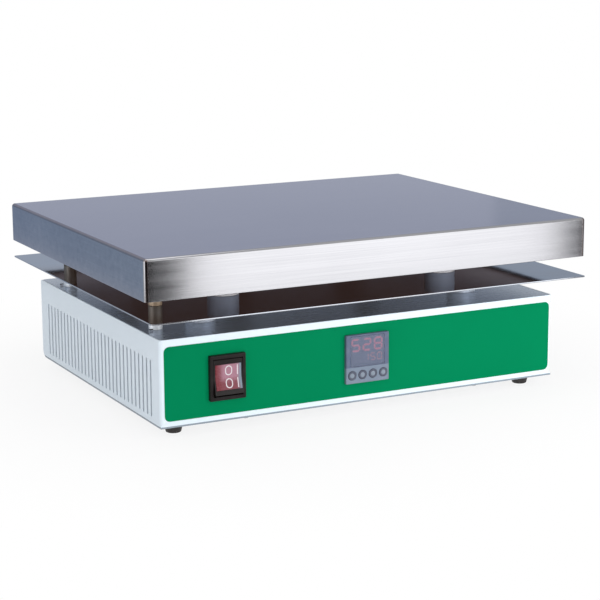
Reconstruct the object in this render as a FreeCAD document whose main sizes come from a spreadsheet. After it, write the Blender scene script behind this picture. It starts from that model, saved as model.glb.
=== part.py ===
import FreeCAD
import Part
import Sketcher
import math
import os
import re

# Laboratory hot plate, in millimetres. The origin is on the ground below the middle, and the front faces -Y.
# A stainless heating head stands on drums and studs above a heat shield and a sheet-metal base. The base holds a
# rocker switch, a temperature controller with four keys, a relay, the mains inlet and the wiring.

# Driving dimensions. Heights called a rise are measured from the underside of the floor pan.
SIZES = {
    # heating head
    "plate_width": 450,
    "plate_depth": 350,
    "plate_height": 37.3,
    "plate_skin": 1.5,
    "plate_bend": 3,
    "spreader_side_gap": 3.5,
    "spreader_thick": 10,
    "element_radius": 4.25,
    "element_leg": 25,
    "element_pitch": 110,
    "element_inset": 30,
    "element_tail": 55,
    "pin_radius": 2,
    "pin_length": 16,
    "link_thick": 2,
    "link_width": 8,
    "link_margin": 6,
    "bar_width": 20,
    "bar_thick": 3,
    "bar_end_gap": 5,
    "bar_spacing": 130,
    "bar_shift": 10,
    "bar_screw_y": 55,
    "bar_screw_inset": 7,
    "spreader_thread": 8,
    "probe_radius": 2.5,
    "probe_length": 80,
    "probe_tip_x": -10,
    "clip_length": 16,
    "clip_width": 24,
    "clip_wall": 2,
    "board_thick": 6,
    "board_gap": 0.5,
    "tray_recess": 3,
    "tray_skin": 1.2,
    "tray_gap": 0.5,
    "cleat_reach": 9,
    "cleat_width": 20,
    "cleat_thick": 3,
    "cleat_x": 140,
    # stack between head and base
    "upper_gap": 17.6,
    "lower_gap": 20.4,
    "shield_side_setback": 3,
    "shield_overhang": 6.5,
    "shield_skin": 1.2,
    "shield_corner": 2,
    "stud_side_inset": 15.5,
    "stud_end_inset": 45,
    "stud_radius": 3,
    "stud_end": 1.4,
    "nut_width": 10,
    "nut_height": 5,
    "washer_radius": 6,
    "washer_thick": 1.2,
    "sleeve_radius": 6.2,
    "upper_drum_side_inset": 89,
    "upper_drum_end_inset": 61.5,
    "upper_drum_radius": 14.5,
    "lower_drum_side_inset": 65.3,
    "lower_drum_end_inset": 60.2,
    "lower_drum_radius": 13.75,
    "drum_thread": 10,
    "duct_inset": 28,
    "duct_radius": 15,
    "duct_wall": 1.5,
    "duct_flange": 3.5,
    "duct_flange_thick": 1.2,
    "duct_drop": 4,
    "duct_clearance": 4,
    # casing
    "foot_height": 10,
    "foot_side_inset": 21,
    "foot_end_inset": 22.2,
    "foot_top_radius": 9,
    "foot_bottom_radius": 7,
    "foot_recess": 4.2,
    "foot_edge": 0.8,
    "casing_side_setback": 21,
    "casing_end_setback": 21.5,
    "casing_height": 79,
    "casing_skin": 1.2,
    "casing_bend": 4,
    "pan_skin": 1.5,
    "pan_bend": 8,
    "top_skin": 1.2,
    "top_gap": 0.2,
    "top_corner": 3.4,
    "top_screw_inset": 8.5,
    "top_screw_step": 6.5,
    "shelf_width": 22,
    "flange_width": 12,
    "flange_gap": 0.3,
    "floor_screw_x": 120,
    "floor_screw_y": 60,
    "slot_count": 30,
    "slot_margin": 21.2,
    "slot_width": 3,
    "slot_rise": 6.5,
    "slot_top_margin": 21,
    "label_side_margin": 3.7,
    "label_bottom_margin": 6,
    "label_top_margin": 6.3,
    "label_skin": 0.4,
    "label_corner": 5,
    # screws
    "light_screw": 1.5,
    "light_head": 3,
    "light_head_height": 1.8,
    "middle_screw": 2,
    "middle_head": 3.8,
    "middle_head_height": 2.4,
    "heavy_screw": 2.5,
    "heavy_head": 4.6,
    "heavy_head_height": 3.2,
    "hole_gap": 0.3,
    "thread_gap": 0.05,
    "head_gap": 0.8,
    # rocker switch
    "switch_inset": 62.9,
    "switch_rise": 40.2,
    "switch_width": 34.8,
    "switch_height": 41.2,
    "switch_proud": 4,
    "switch_edge": 1.2,
    "switch_mouth_width": 28.5,
    "switch_mouth_height": 34,
    "switch_wall": 1.2,
    "switch_depth": 26,
    "switch_cavity": 9.3,
    "cutout_gap": 0.3,
    "rocker_gap": 0.4,
    "rocker_valley": 4,
    "rocker_back": 2,
    "rocker_angle": 7,
    "rocker_recess": 0.3,
    "trunnion_radius": 1.5,
    "trunnion_length": 1.4,
    "trunnion_gap": 0.15,
    "lens_half_height": 11.3,
    "lens_width": 25,
    "lens_thick": 1.5,
    "lens_seat": 1.2,
    "lens_gap": 0.1,
    "tab_width": 6.3,
    "tab_thick": 0.8,
    "tab_length": 8,
    "tab_x": 7,
    "tab_z": 8,
    # temperature controller
    "controller_x": -0.9,
    "controller_rise": 41.25,
    "controller_width": 44.6,
    "controller_height": 45.5,
    "controller_proud": 3.5,
    "controller_edge": 1,
    "controller_border": 1.1,
    "controller_wall": 0.8,
    "controller_depth": 66,
    "controller_back": 2,
    "window_width": 35.4,
    "window_height": 28.3,
    "window_lift": 6.9,
    "window_thick": 1.2,
    "window_ledge": 1.2,
    "window_gap": 0.1,
    "key_radius": 4.1,
    "key_gap": 0.3,
    "key_pitch": 10.8,
    "key_drop": 14.95,
    "key_proud": 0.5,
    "key_cap": 1.6,
    "key_bore_depth": 2,
    "key_stem": 2.8,
    "key_flange": 3.6,
    "key_flange_thick": 0.8,
    "key_nib": 1.5,
    "key_nib_length": 1.2,
    "key_travel": 0.6,
    "display_board_thick": 1.6,
    "module_gap": 0.3,
    "large_module_height": 13.5,
    "small_module_height": 10,
    "module_inset": 1.5,
    "control_board_thick": 1.6,
    "rear_strip_height": 30,
    "rear_strip_depth": 6,
    # power parts on the floor
    "relay_inset": 80,
    "relay_setback": 51.9,
    "relay_width": 58,
    "relay_depth": 45,
    "relay_height": 23,
    "relay_terminal_x": 15,
    "relay_terminal_y": 16,
    "relay_terminal_radius": 3.5,
    "relay_terminal_height": 3,
    "sink_width": 70,
    "sink_depth": 62,
    "sink_height": 22,
    "sink_base": 5.5,
    "sink_fin": 2.4,
    "sink_fin_pitch": 8.2,
    "sink_end_fin": 7,
    "block_x": 60,
    "block_y": 60,
    "block_width": 60,
    "block_depth": 22,
    "block_base": 8,
    "block_height": 20,
    "block_pitch": 10,
    "block_tower": 8,
    "earth_side_inset": 39,
    "earth_rear_inset": 40,
    "earth_height": 12,
    # mains inlet and fuse in the rear wall
    "inlet_inset": 64,
    "inlet_rise": 30,
    "inlet_width": 27,
    "inlet_height": 20,
    "inlet_mouth_width": 24,
    "inlet_mouth_height": 16.5,
    "inlet_mouth_depth": 16,
    "inlet_flange_width": 50,
    "inlet_flange_height": 24,
    "inlet_flange_thick": 3,
    "inlet_depth": 19,
    "inlet_screw_x": 20,
    "inlet_pin_x": 7,
    "inlet_pin_z": 2,
    "inlet_pin_recess": 5,
    "inlet_pin_width": 2,
    "inlet_pin_height": 4,
    "fuse_spacing": 45,
    "fuse_radius": 6,
    "fuse_cap": 7.5,
    "fuse_cap_length": 8,
    "fuse_length": 24,
    # wires
    "power_wire": 1.5,
    "signal_wire": 1.2,
    "wire_bend": 22,
    "wire_stub": 10,
    "head_run": 2,
    "head_run_inset": 23.5,
    "pin_exit": 11,
    "probe_exit": 11,
    "duct_offset": 3.6,
    "low_run": 18.5,
    "relay_run_drop": 5.6,
    "heater_run_drop": 11,
    "neutral_run_drop": 17,
    "sensor_run_drop": 25,
    "switch_run_drop": 33,
    "rear_run_inset": 48,
    "fused_run_inset": 64,
    "control_run_gap": 12,
    "switch_run_gap": 14,
    "neutral_run_gap": 26,
}

# Levels and places that follow from the driving dimensions.
PLACES = {
    "pan_top": "foot_height + pan_skin",
    "casing_level": "foot_height + casing_height",
    "shield_bottom": "casing_level + lower_gap",
    "shield_top": "shield_bottom + shield_skin",
    "plate_bottom": "shield_top + upper_gap",
    "plate_top": "plate_bottom + plate_height",
    "shield_width": "plate_width - 2 * shield_side_setback",
    "shield_depth": "plate_depth + 2 * shield_overhang",
    "casing_width": "plate_width - 2 * casing_side_setback",
    "casing_depth": "plate_depth - 2 * casing_end_setback",
    "stud_x": "casing_width / 2 - stud_side_inset",
    "stud_y": "casing_depth / 2 - stud_end_inset",
    "upper_drum_x": "casing_width / 2 - upper_drum_side_inset",
    "upper_drum_y": "casing_depth / 2 - upper_drum_end_inset",
    "lower_drum_x": "casing_width / 2 - lower_drum_side_inset",
    "lower_drum_y": "casing_depth / 2 - lower_drum_end_inset",
    "foot_x": "casing_width / 2 - foot_side_inset",
    "foot_y": "casing_depth / 2 - foot_end_inset",
    "top_screw_x": "casing_width / 2 - top_screw_inset",
    "top_screw_y": "stud_y + top_screw_step",
    "top_screw_right_y": "top_screw_y / 2",
    "tray_bottom": "plate_bottom + tray_recess",
    "tray_top": "tray_bottom + tray_skin",
    "board_top": "tray_top + board_thick",
    "cover_side": "plate_width / 2 - plate_skin",
    "cover_front": "plate_depth / 2 - plate_skin",
    "cleat_screw": "cleat_reach / 2",
    "spreader_top": "plate_top - plate_skin",
    "spreader_bottom": "spreader_top - spreader_thick",
    "spreader_side": "cover_side - spreader_side_gap",
    "spreader_front": "cover_front - spreader_side_gap",
    "element_level": "spreader_bottom - element_radius",
    "element_left": "element_inset + element_leg - spreader_side",
    "element_right": "spreader_side - element_tail",
    "pin_end": "element_right + pin_length",
    "bar_top": "element_level - element_radius",
    "bar_bottom": "bar_top - bar_thick",
    "bar_reach": "spreader_front - bar_end_gap",
    "bar_end_screw": "bar_reach - bar_screw_inset",
    "probe_level": "spreader_bottom - probe_radius",
    "probe_end_x": "probe_tip_x - probe_length",
    "clip_bottom": "probe_level - probe_radius - clip_wall",
    "head_wire_level": "board_top + head_run",
    "head_run_x": "cover_side - head_run_inset",
    "inner_side": "casing_width / 2 - casing_skin",
    "inner_front": "casing_depth / 2 - casing_skin",
    "inner_rear": "casing_depth / 2 - pan_skin",
    "duct_y": "inner_rear - duct_inset",
    "shelf_top": "casing_level - top_skin",
    "shelf_bottom": "shelf_top - casing_skin",
    "slot_height": "casing_height - slot_rise - slot_top_margin",
    "slot_pitch": "(casing_depth - 2 * slot_margin) / (slot_count - 1)",
    "label_width": "casing_width - 2 * label_side_margin",
    "label_height": "casing_height - label_bottom_margin - label_top_margin",
    "label_face": "casing_depth / 2 + label_skin",
    "switch_x": "switch_inset - casing_width / 2",
    "switch_level": "foot_height + switch_rise",
    "switch_front": "label_face + switch_proud",
    "switch_back": "label_face - switch_depth",
    "switch_body_side": "switch_mouth_width / 2 + switch_wall",
    "switch_body_half": "switch_mouth_height / 2 + switch_wall",
    "rocker_radius": "switch_mouth_height / 2 - rocker_gap",
    "rocker_side": "switch_mouth_width / 2 - rocker_gap",
    "pivot_depth": "switch_front - rocker_recess - rocker_valley * cos(rocker_angle)",
    "controller_level": "foot_height + controller_rise",
    "controller_front": "label_face + controller_proud",
    "controller_rear": "label_face - controller_depth",
    "controller_side": "controller_width / 2 - controller_border",
    "controller_half": "controller_height / 2 - controller_border",
    "window_level": "controller_level + window_lift",
    "window_back": "controller_front - window_thick",
    "key_level": "controller_level - key_drop",
    "key_flange_front": "label_face - key_gap",
    "key_end": "key_flange_front - key_flange_thick - key_nib_length",
    "display_board_front": "key_end - key_travel - key_gap",
    "strip_back": "controller_rear - rear_strip_depth",
    "relay_x": "casing_width / 2 - relay_inset",
    "sink_top": "pan_top + sink_height",
    "relay_y": "relay_setback - strip_back",
    "relay_top": "sink_top + relay_height",
    "relay_terminal_top": "relay_top + relay_terminal_height",
    "block_top": "pan_top + block_height",
    "earth_x": "casing_width / 2 - earth_side_inset",
    "earth_y": "inner_rear - earth_rear_inset",
    "inlet_x": "casing_width / 2 - inlet_inset",
    "fuse_x": "inlet_x - fuse_spacing",
    "inlet_level": "foot_height + inlet_rise",
    "inlet_back": "inner_rear - inlet_depth",
    "inlet_tab_end": "inlet_back - tab_length",
    "fuse_level": "inlet_level + inlet_pin_z",
    "fuse_back": "inner_rear - fuse_length",
    "fuse_tab_end": "fuse_back - tab_length",
    "relay_run": "shelf_bottom - relay_run_drop",
    "heater_run": "shelf_bottom - heater_run_drop",
    "neutral_run": "shelf_bottom - neutral_run_drop",
    "sensor_run": "shelf_bottom - sensor_run_drop",
    "switch_run": "shelf_bottom - switch_run_drop",
    "floor_run": "pan_top + low_run",
    "rear_run_y": "inner_rear - rear_run_inset",
    "fused_run_y": "inner_rear - fused_run_inset",
    "control_run_y": "control_run_gap - strip_back",
    "switch_run_y": "switch_run_gap - strip_back",
    "neutral_run_y": "neutral_run_gap - strip_back",
}

CORNERS = [(-1, -1), (1, -1), (1, 1), (-1, 1)]
STUD_SIDES = [(-1, -1), (-1, 1)]
TURNS = {
    "X": FreeCAD.Rotation(FreeCAD.Vector(0, 1, 0), 90),
    "Y": FreeCAD.Rotation(FreeCAD.Vector(1, 0, 0), -90),
    "Z": FreeCAD.Rotation(),
}

doc = FreeCAD.newDocument("HotPlate")
nodes = []


def with_cells(text, own=()):
    """Return a formula's text with each size and place written as a cell of its sheet."""
    def cell(match):
        word = match.group(0)
        if word in own:
            return word
        if word in SIZES:
            return "Dims." + word
        return "Places." + word if word in PLACES else word
    return re.sub(r"[a-z_]+", cell, text)


def fill_sheets():
    """Write the driving dimensions as plain numbers, and what follows from them as formulas."""
    dims = doc.addObject("Spreadsheet::Sheet", "Dims")
    for row, (name, number) in enumerate(SIZES.items(), 1):
        dims.set(f"A{row}", name)
        dims.set(f"B{row}", str(number))
        dims.setAlias(f"B{row}", name)
    places = doc.addObject("Spreadsheet::Sheet", "Places")
    for row, (name, text) in enumerate(PLACES.items(), 1):
        places.set(f"A{row}", name)
        places.set(f"B{row}", "=" + with_cells(text, PLACES))
        places.setAlias(f"B{row}", name)
    doc.recompute()
    return dims


def value(text):
    """Return what a formula comes to, as a plain number."""
    return float(dims.evalExpression(with_cells(text)))


def bind(thing, **formulas):
    """Let each named property of an object follow its formula."""
    for name, text in formulas.items():
        thing.setExpression(name, with_cells(text))


def place(thing, x="0", y="0", z="0"):
    """Let the place of an object follow three formulas."""
    for letter, text in zip("xyz", (x, y, z)):
        thing.setExpression(f"Placement.Base.{letter}", with_cells(text))
    return thing


def finished(thing, name):
    """Give a finished sub-part its name and keep it for the export."""
    thing.Label = name
    nodes.append(thing)
    return thing


# Solids from primitives

def block(name, x, y, z):
    """Make a box between two formulas along each axis."""
    box = doc.addObject("Part::Box", name)
    sides = {side: f"({high}) - ({low})" for side, (low, high) in zip(("Length", "Width", "Height"), (x, y, z))}
    bind(box, **sides)
    return place(box, x[0], y[0], z[0])


def rod(name, radius, length, x="0", y="0", z="0", axis="Z"):
    """Make a cylinder that starts at a point and runs along the positive side of an axis."""
    cylinder = doc.addObject("Part::Cylinder", name)
    bind(cylinder, Radius=radius, Height=length)
    cylinder.Placement.Rotation = TURNS[axis]
    return place(cylinder, x, y, z)


def hexagon(name, width, height, x, y, z):
    """Make an upright six-sided prism from its width across the flats."""
    prism = doc.addObject("Part::Prism", name)
    prism.Polygon = 6
    bind(prism, Circumradius=f"({width}) / sqrt(3)", Height=height)
    return place(prism, x, y, z)


def fuse(name, *solids):
    joined = doc.addObject("Part::MultiFuse", name)
    joined.Shapes = list(solids)
    return joined


def group(name, solids):
    together = doc.addObject("Part::Compound", name)
    together.Links = list(solids)
    return together


def cut(name, base, *tools):
    """Cut one or more tools from a solid."""
    result = doc.addObject("Part::Cut", name)
    result.Base = base
    result.Tool = tools[0] if len(tools) == 1 else fuse(name + "_tools", *tools)
    return result


def screw(name, family, length, x, y, z, up=True):
    """Make a round-headed screw whose head seats at a level, with its shank going up or down from there."""
    head_height = f"{family}_head_height"
    head_z, shank_z = (f"{z} - {head_height}", z) if up else (z, f"{z} - ({length})")
    head = rod(name + "_head", f"{family}_head", head_height, x, y, head_z)
    shank = rod(name + "_shank", f"{family}_screw", length, x, y, shank_z)
    return fuse(name, head, shank)


def ring(name, outer, inner, height, x, y, z):
    """Make an upright tube or washer."""
    bore = rod(name + "_bore", inner, height, x, y, z)
    return cut(name, rod(name + "_round", outer, height, x, y, z), bore)


def nut(name, x, y, z):
    """Make a hexagon nut for a stud."""
    bore = rod(name + "_bore", "stud_radius + thread_gap", "nut_height", x, y, z)
    return cut(name, hexagon(name + "_body", "nut_width", "nut_height", x, y, z), bore)


# Solids from sketches

def new_body(name):
    return finished(doc.addObject("PartDesign::Body", name), name)


def sketch(owner, name, plane, offset="0"):
    """Make a sketch on one of a body's own planes, moved along the plane's normal."""
    flat = owner.newObject("Sketcher::SketchObject", name)
    support = next(item for item in owner.Origin.OriginFeatures if item.Role == plane + "_Plane")
    flat.AttachmentSupport = [(support, "")]
    flat.MapMode = "FlatFace"
    flat.setExpression("AttachmentOffset.Base.z", with_cells(offset))
    return flat


def hold(flat, kind, text, *ends):
    """Add a constraint that follows a formula."""
    index = flat.addConstraint(Sketcher.Constraint(kind, *ends, 1.0))
    flat.setExpression(f"Constraints[{index}]", with_cells(text))


def outline(flat, *points):
    """Draw a closed outline through points, each held at its two formulas."""
    first = flat.GeometryCount
    count = len(points)
    spots = [FreeCAD.Vector(value(x), value(y), 0) for x, y in points]
    for number in range(count):
        flat.addGeometry(Part.LineSegment(spots[number], spots[(number + 1) % count]), False)
    for number in range(count):
        following = first + (number + 1) % count
        flat.addConstraint(Sketcher.Constraint("Coincident", first + number, 2, following, 1))
    for number, (x, y) in enumerate(points):
        hold(flat, "DistanceX", x, -1, 1, first + number, 1)
        hold(flat, "DistanceY", y, -1, 1, first + number, 1)


def rectangle(flat, x, y, width, height):
    """Draw a rectangle about a centre."""
    left, right = f"{x} - ({width}) / 2", f"{x} + ({width}) / 2"
    bottom, top = f"{y} - ({height}) / 2", f"{y} + ({height}) / 2"
    outline(flat, (left, bottom), (right, bottom), (right, top), (left, top))


def circle(flat, x, y, radius):
    centre = FreeCAD.Vector(value(x), value(y), 0)
    index = flat.addGeometry(Part.Circle(centre, FreeCAD.Vector(0, 0, 1), value(radius)), False)
    hold(flat, "DistanceX", x, -1, 1, index, 3)
    hold(flat, "DistanceY", y, -1, 1, index, 3)
    hold(flat, "Radius", radius, index)


def pad(owner, flat, length, both_ways=False):
    """Raise a sketch along its normal, or half to each side."""
    feature = owner.newObject("PartDesign::Pad", flat.Name + "_pad")
    feature.Profile = flat
    feature.Midplane = both_ways
    bind(feature, Length=length)
    return feature


def pocket(owner, flat, depth=None):
    """Cut a sketch against its normal to a depth, or through everything both ways."""
    feature = owner.newObject("PartDesign::Pocket", flat.Name + "_pocket")
    feature.Profile = flat
    if depth is None:
        feature.Type = "ThroughAll"
        feature.Midplane = True
    else:
        bind(feature, Length=depth)
    return feature


def fillet(owner, feature, radius, chosen):
    """Round the edges of a body's last feature that a test on direction and middle picks."""
    doc.recompute()
    names = []
    for number, edge in enumerate(feature.Shape.Edges, 1):
        way = edge.tangentAt((edge.FirstParameter + edge.LastParameter) / 2)
        if chosen(way, edge.CenterOfMass):
            names.append(f"Edge{number}")
    rounded = owner.newObject("PartDesign::Fillet", feature.Name + "_round")
    rounded.Base = (feature, names)
    bind(rounded, Radius=radius)
    return rounded


def upright(way):
    return abs(way.z) > 0.99


def crosswise(way):
    return abs(way.x) > 0.99


def fore_and_aft(way):
    return abs(way.y) > 0.99


# Heating head

def bar_places():
    """Return the centre of each clamp bar from left to right."""
    return [f"bar_shift + {step} * bar_spacing" for step in (-1, 0, 1)]


def bar_screw_places():
    rows = ("-bar_end_screw", "-bar_screw_y", "bar_screw_y", "bar_end_screw")
    return [(x, y) for x in bar_places() for y in rows]


def cleat_places():
    """Return each cleat's screw place and the sizes of the cleat along X and Y."""
    ends = [(f"{side} * (cover_side - cleat_screw)", "0", "cleat_reach", "cleat_width") for side in (-1, 1)]
    long_sides = [(f"{across} * cleat_x", f"{side} * (cover_front - cleat_screw)", "cleat_width", "cleat_reach")
                  for across, side in CORNERS]
    return ends + long_sides


def make_plate_cover():
    """Fold the top and the four sides from one sheet, and weld six threaded cleats inside."""
    cover = new_body("plate_cover")
    plan = sketch(cover, "cover_plan", "XY", "plate_bottom")
    rectangle(plan, "0", "0", "plate_width", "plate_depth")
    solid = pad(cover, plan, "plate_height")
    bends = fillet(cover, solid, "plate_bend", lambda way, middle: upright(way) or middle.z > value("plate_top") - 1)
    doc.recompute()
    hollow = cover.newObject("PartDesign::Thickness", "cover_hollow")
    underside = min(range(len(bends.Shape.Faces)), key=lambda number: bends.Shape.Faces[number].CenterOfMass.z)
    hollow.Base = (bends, [f"Face{underside + 1}"])
    hollow.Reversed = True
    bind(hollow, Value="plate_skin")
    cleats = sketch(cover, "cleat_plan", "XY", "tray_top")
    screws = sketch(cover, "cleat_holes", "XY", "tray_top + cleat_thick")
    for x, y, width, depth in cleat_places():
        rectangle(cleats, x, y, width, depth)
        circle(screws, x, y, "middle_screw + thread_gap")
    pad(cover, cleats, "cleat_thick")
    pocket(cover, screws, "cleat_thick")


def make_spreader():
    """Bore the aluminium slab from below for the clamp screws and the clip screws."""
    slab = block("spreader_slab", ("-spreader_side", "spreader_side"), ("-spreader_front", "spreader_front"),
                 ("spreader_bottom", "spreader_top"))
    bores = [rod("bar_bore", "middle_screw + thread_gap", "spreader_thread + thread_gap", x, y, "spreader_bottom")
             for x, y in bar_screw_places()]
    bores += [rod("clip_bore", "light_screw + thread_gap", "spreader_thread + thread_gap", x, y, "spreader_bottom")
              for x, y in clip_screw_places()]
    finished(cut("spreader_plate", slab, *bores), "spreader_plate")


def make_elements():
    """Bend three tubular elements into hairpins, each with two cold pins at its right end."""
    hairpins = []
    for row in (-1, 0, 1):
        middle = f"{row} * element_pitch"
        pieces = []
        for side in (-1, 1):
            y = f"{middle} + {side} * element_leg"
            length = "element_right - element_left"
            pieces.append(rod("element_leg", "element_radius", length, "element_left", y, "element_level", "X"))
            pieces.append(rod("element_pin", "pin_radius", "pin_length", "element_right", y, "element_level", "X"))
        bend = doc.addObject("Part::Torus", "element_bend")
        bend.Angle3 = 180
        bind(bend, Radius1="element_leg", Radius2="element_radius")
        bend.Placement.Rotation = FreeCAD.Rotation(FreeCAD.Vector(0, 0, 1), 90)
        place(bend, "element_left", middle, "element_level")
        hairpins.append(fuse("hairpin", bend, *pieces))
    finished(group("heating_elements", hairpins), "heating_elements")


def make_element_links():
    """Join neighbouring elements in series with flat straps on their pins."""
    straps = []
    for side in (-1, 1):
        inner, outer = f"{side} * element_leg", f"{side} * (element_pitch - element_leg)"
        low, high = (outer, inner) if side < 0 else (inner, outer)
        reach = ("pin_end - 2 * link_thick", "pin_end - link_thick")
        strap = block("link_strap", reach, (f"{low} - link_margin", f"{high} + link_margin"),
                      ("element_level - link_width / 2", "element_level + link_width / 2"))
        holes = [rod("link_hole", "pin_radius + thread_gap", "link_thick", reach[0], y, "element_level", "X")
                 for y in (inner, outer)]
        straps.append(cut("element_link", strap, *holes))
    finished(group("element_links", straps), "element_links")


def make_clamp_bars():
    """Press the elements against the slab with three bars and four screws in each."""
    bars = []
    for x in bar_places():
        bar = block("clamp_strip", (f"{x} - bar_width / 2", f"{x} + bar_width / 2"), ("-bar_reach", "bar_reach"),
                    ("bar_bottom", "bar_top"))
        holes = [rod("bar_hole", "middle_screw + hole_gap", "bar_thick", x, y, "bar_bottom")
                 for place_x, y in bar_screw_places() if place_x == x]
        bars.append(cut("clamp_bar", bar, *holes))
    finished(group("clamp_bars", bars), "clamp_bars")
    length = "spreader_bottom - bar_bottom + spreader_thread"
    screws = [screw("clamp_screw", "middle", length, x, y, "bar_bottom") for x, y in bar_screw_places()]
    finished(group("clamp_screws", screws + clip_screws()), "clamp_screws")


def clip_screw_places():
    middle = "probe_tip_x - probe_length / 2"
    return [(middle, f"{side} * (clip_width / 2 - light_head - probe_radius / 4)") for side in (-1, 1)]


def clip_screws():
    """Make the two screws that hold the probe's clip to the slab."""
    length = "spreader_bottom - clip_bottom + spreader_thread"
    return [screw("clip_screw", "light", length, x, y, "clip_bottom") for x, y in clip_screw_places()]


def make_probe():
    """Hold the temperature probe against the slab with a bored clip."""
    probe = rod("temperature_probe", "probe_radius", "probe_length", "probe_end_x", "0", "probe_level", "X")
    finished(probe, "temperature_probe")
    middle = clip_screw_places()[0][0]
    along = (f"{middle} - clip_length / 2", f"{middle} + clip_length / 2")
    clip = block("clip_block", along, ("-clip_width / 2", "clip_width / 2"), ("clip_bottom", "spreader_bottom"))
    groove = rod("clip_groove", "probe_radius + thread_gap", "clip_length", along[0], "0", "probe_level", "X")
    mouth = block("clip_mouth", along, ("-probe_radius - thread_gap", "probe_radius + thread_gap"),
                  ("probe_level", "spreader_bottom"))
    holes = [rod("clip_hole", "light_screw + thread_gap", "spreader_bottom - clip_bottom", x, y, "clip_bottom")
             for x, y in clip_screw_places()]
    finished(cut("probe_clip", clip, groove, mouth, *holes), "probe_clip")


def make_insulation_board():
    """Lay a board in the tray, with holes over the nuts, the drum screws and the duct."""
    board = new_body("insulation_board")
    plan = sketch(board, "board_plan", "XY", "tray_top")
    margin = "2 * (cleat_reach + board_gap)"
    rectangle(plan, "0", "0", f"2 * cover_side - {margin}", f"2 * cover_front - {margin}")
    for x, y in STUD_SIDES:
        circle(plan, f"{x} * stud_x", f"{y} * stud_y", "washer_radius + head_gap")
    for x, y in CORNERS:
        circle(plan, f"{x} * upper_drum_x", f"{y} * upper_drum_y", "heavy_head + head_gap")
    circle(plan, "0", "duct_y", "duct_radius + duct_flange + duct_clearance")
    pad(board, plan, "board_thick")


def make_head_tray():
    """Close the head from below with a flat tray that is screwed to the cleats."""
    tray = new_body("head_tray")
    plan = sketch(tray, "tray_plan", "XY", "tray_bottom")
    rectangle(plan, "0", "0", "2 * (cover_side - tray_gap)", "2 * (cover_front - tray_gap)")
    for x, y in STUD_SIDES:
        circle(plan, f"{x} * stud_x", f"{y} * stud_y", "stud_radius + hole_gap")
    for x, y in CORNERS:
        circle(plan, f"{x} * upper_drum_x", f"{y} * upper_drum_y", "heavy_screw + hole_gap")
    for x, y, width, depth in cleat_places():
        circle(plan, x, y, "middle_screw + hole_gap")
    circle(plan, "0", "duct_y", "duct_radius + hole_gap")
    pad(tray, plan, "tray_skin")
    screws = [screw("tray_screw", "middle", "tray_skin + cleat_thick", x, y, "tray_bottom")
              for x, y, width, depth in cleat_places()]
    finished(group("tray_screws", screws), "tray_screws")


# Stack between head and base

def make_studs():
    """Run two studs at the left from below the casing's shelf to the tray, with a washer and a nut at each end."""
    low_washer = "shelf_bottom - washer_thick"
    low_nut = "shelf_bottom - washer_thick - nut_height"
    high_nut = "tray_top + washer_thick"
    stud_bottom = f"{low_nut} - stud_end"
    stud_length = f"{high_nut} + nut_height + stud_end - ({stud_bottom})"
    studs, nuts, washers, upper, lower = [], [], [], [], []
    for across, along in STUD_SIDES:
        x, y = f"{across} * stud_x", f"{along} * stud_y"
        studs.append(rod("stud", "stud_radius", stud_length, x, y, stud_bottom))
        for level in (low_nut, high_nut):
            nuts.append(nut("stud_nut", x, y, level))
        bore = "stud_radius + hole_gap"
        for level in (low_washer, "tray_top"):
            washers.append(ring("stud_washer", "washer_radius", bore, "washer_thick", x, y, level))
        upper.append(ring("upper_sleeve", "sleeve_radius", bore, "tray_bottom - shield_top", x, y, "shield_top"))
        lower.append(ring("lower_sleeve", "sleeve_radius", bore, "lower_gap", x, y, "casing_level"))
    finished(group("corner_studs", studs), "corner_studs")
    finished(group("stud_nuts", nuts + washers), "stud_nuts")
    finished(group("upper_sleeves", upper), "upper_sleeves")
    finished(group("lower_sleeves", lower), "lower_sleeves")


def make_drums():
    """Carry the head and the shield on wide staggered drums, each held by one screw from inside."""
    upper, lower, screws = [], [], []
    for across, along in CORNERS:
        x, y = f"{across} * upper_drum_x", f"{along} * upper_drum_y"
        length = "tray_bottom - shield_top"
        bore = rod("drum_thread", "heavy_screw + thread_gap", "drum_thread", x, y, "tray_bottom - drum_thread")
        upper.append(cut("upper_drum", rod("drum_round", "upper_drum_radius", length, x, y, "shield_top"), bore))
        screws.append(screw("drum_screw", "heavy", "tray_skin + drum_thread", x, y, "tray_top", up=False))
        x, y = f"{across} * lower_drum_x", f"{along} * lower_drum_y"
        bore = rod("drum_thread", "heavy_screw + thread_gap", "drum_thread", x, y, "casing_level")
        lower.append(cut("lower_drum", rod("drum_round", "lower_drum_radius", "lower_gap", x, y, "casing_level"),
                         bore))
        screws.append(screw("drum_screw", "heavy", "top_skin + drum_thread", x, y, "shelf_top"))
    finished(group("upper_drums", upper), "upper_drums")
    finished(group("lower_drums", lower), "lower_drums")
    finished(group("drum_screws", screws), "drum_screws")


def make_heat_shield():
    """Cut the thin shield that reaches past the casing all round."""
    shield = new_body("heat_shield")
    plan = sketch(shield, "shield_plan", "XY", "shield_bottom")
    rectangle(plan, "0", "0", "shield_width", "shield_depth")
    for x, y in STUD_SIDES:
        circle(plan, f"{x} * stud_x", f"{y} * stud_y", "stud_radius + hole_gap")
    circle(plan, "0", "duct_y", "duct_radius + hole_gap")
    sheet = pad(shield, plan, "shield_skin")
    fillet(shield, sheet, "shield_corner",
           lambda way, middle: upright(way) and abs(middle.x) > value("shield_width / 2 - shield_corner"))


def make_wire_duct():
    """Lead the wires from the head to the base in a flanged tube."""
    bottom = "shelf_top - duct_drop"
    length = f"tray_top - ({bottom})"
    tube = rod("duct_tube", "duct_radius", length, "0", "duct_y", bottom)
    flange = rod("duct_rim", "duct_radius + duct_flange", "duct_flange_thick", "0", "duct_y", "tray_top")
    bore = rod("duct_bore", "duct_radius - duct_wall", f"{length} + duct_flange_thick", "0", "duct_y", bottom)
    finished(cut("wire_duct", fuse("duct_outer", tube, flange), bore), "wire_duct")


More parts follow.
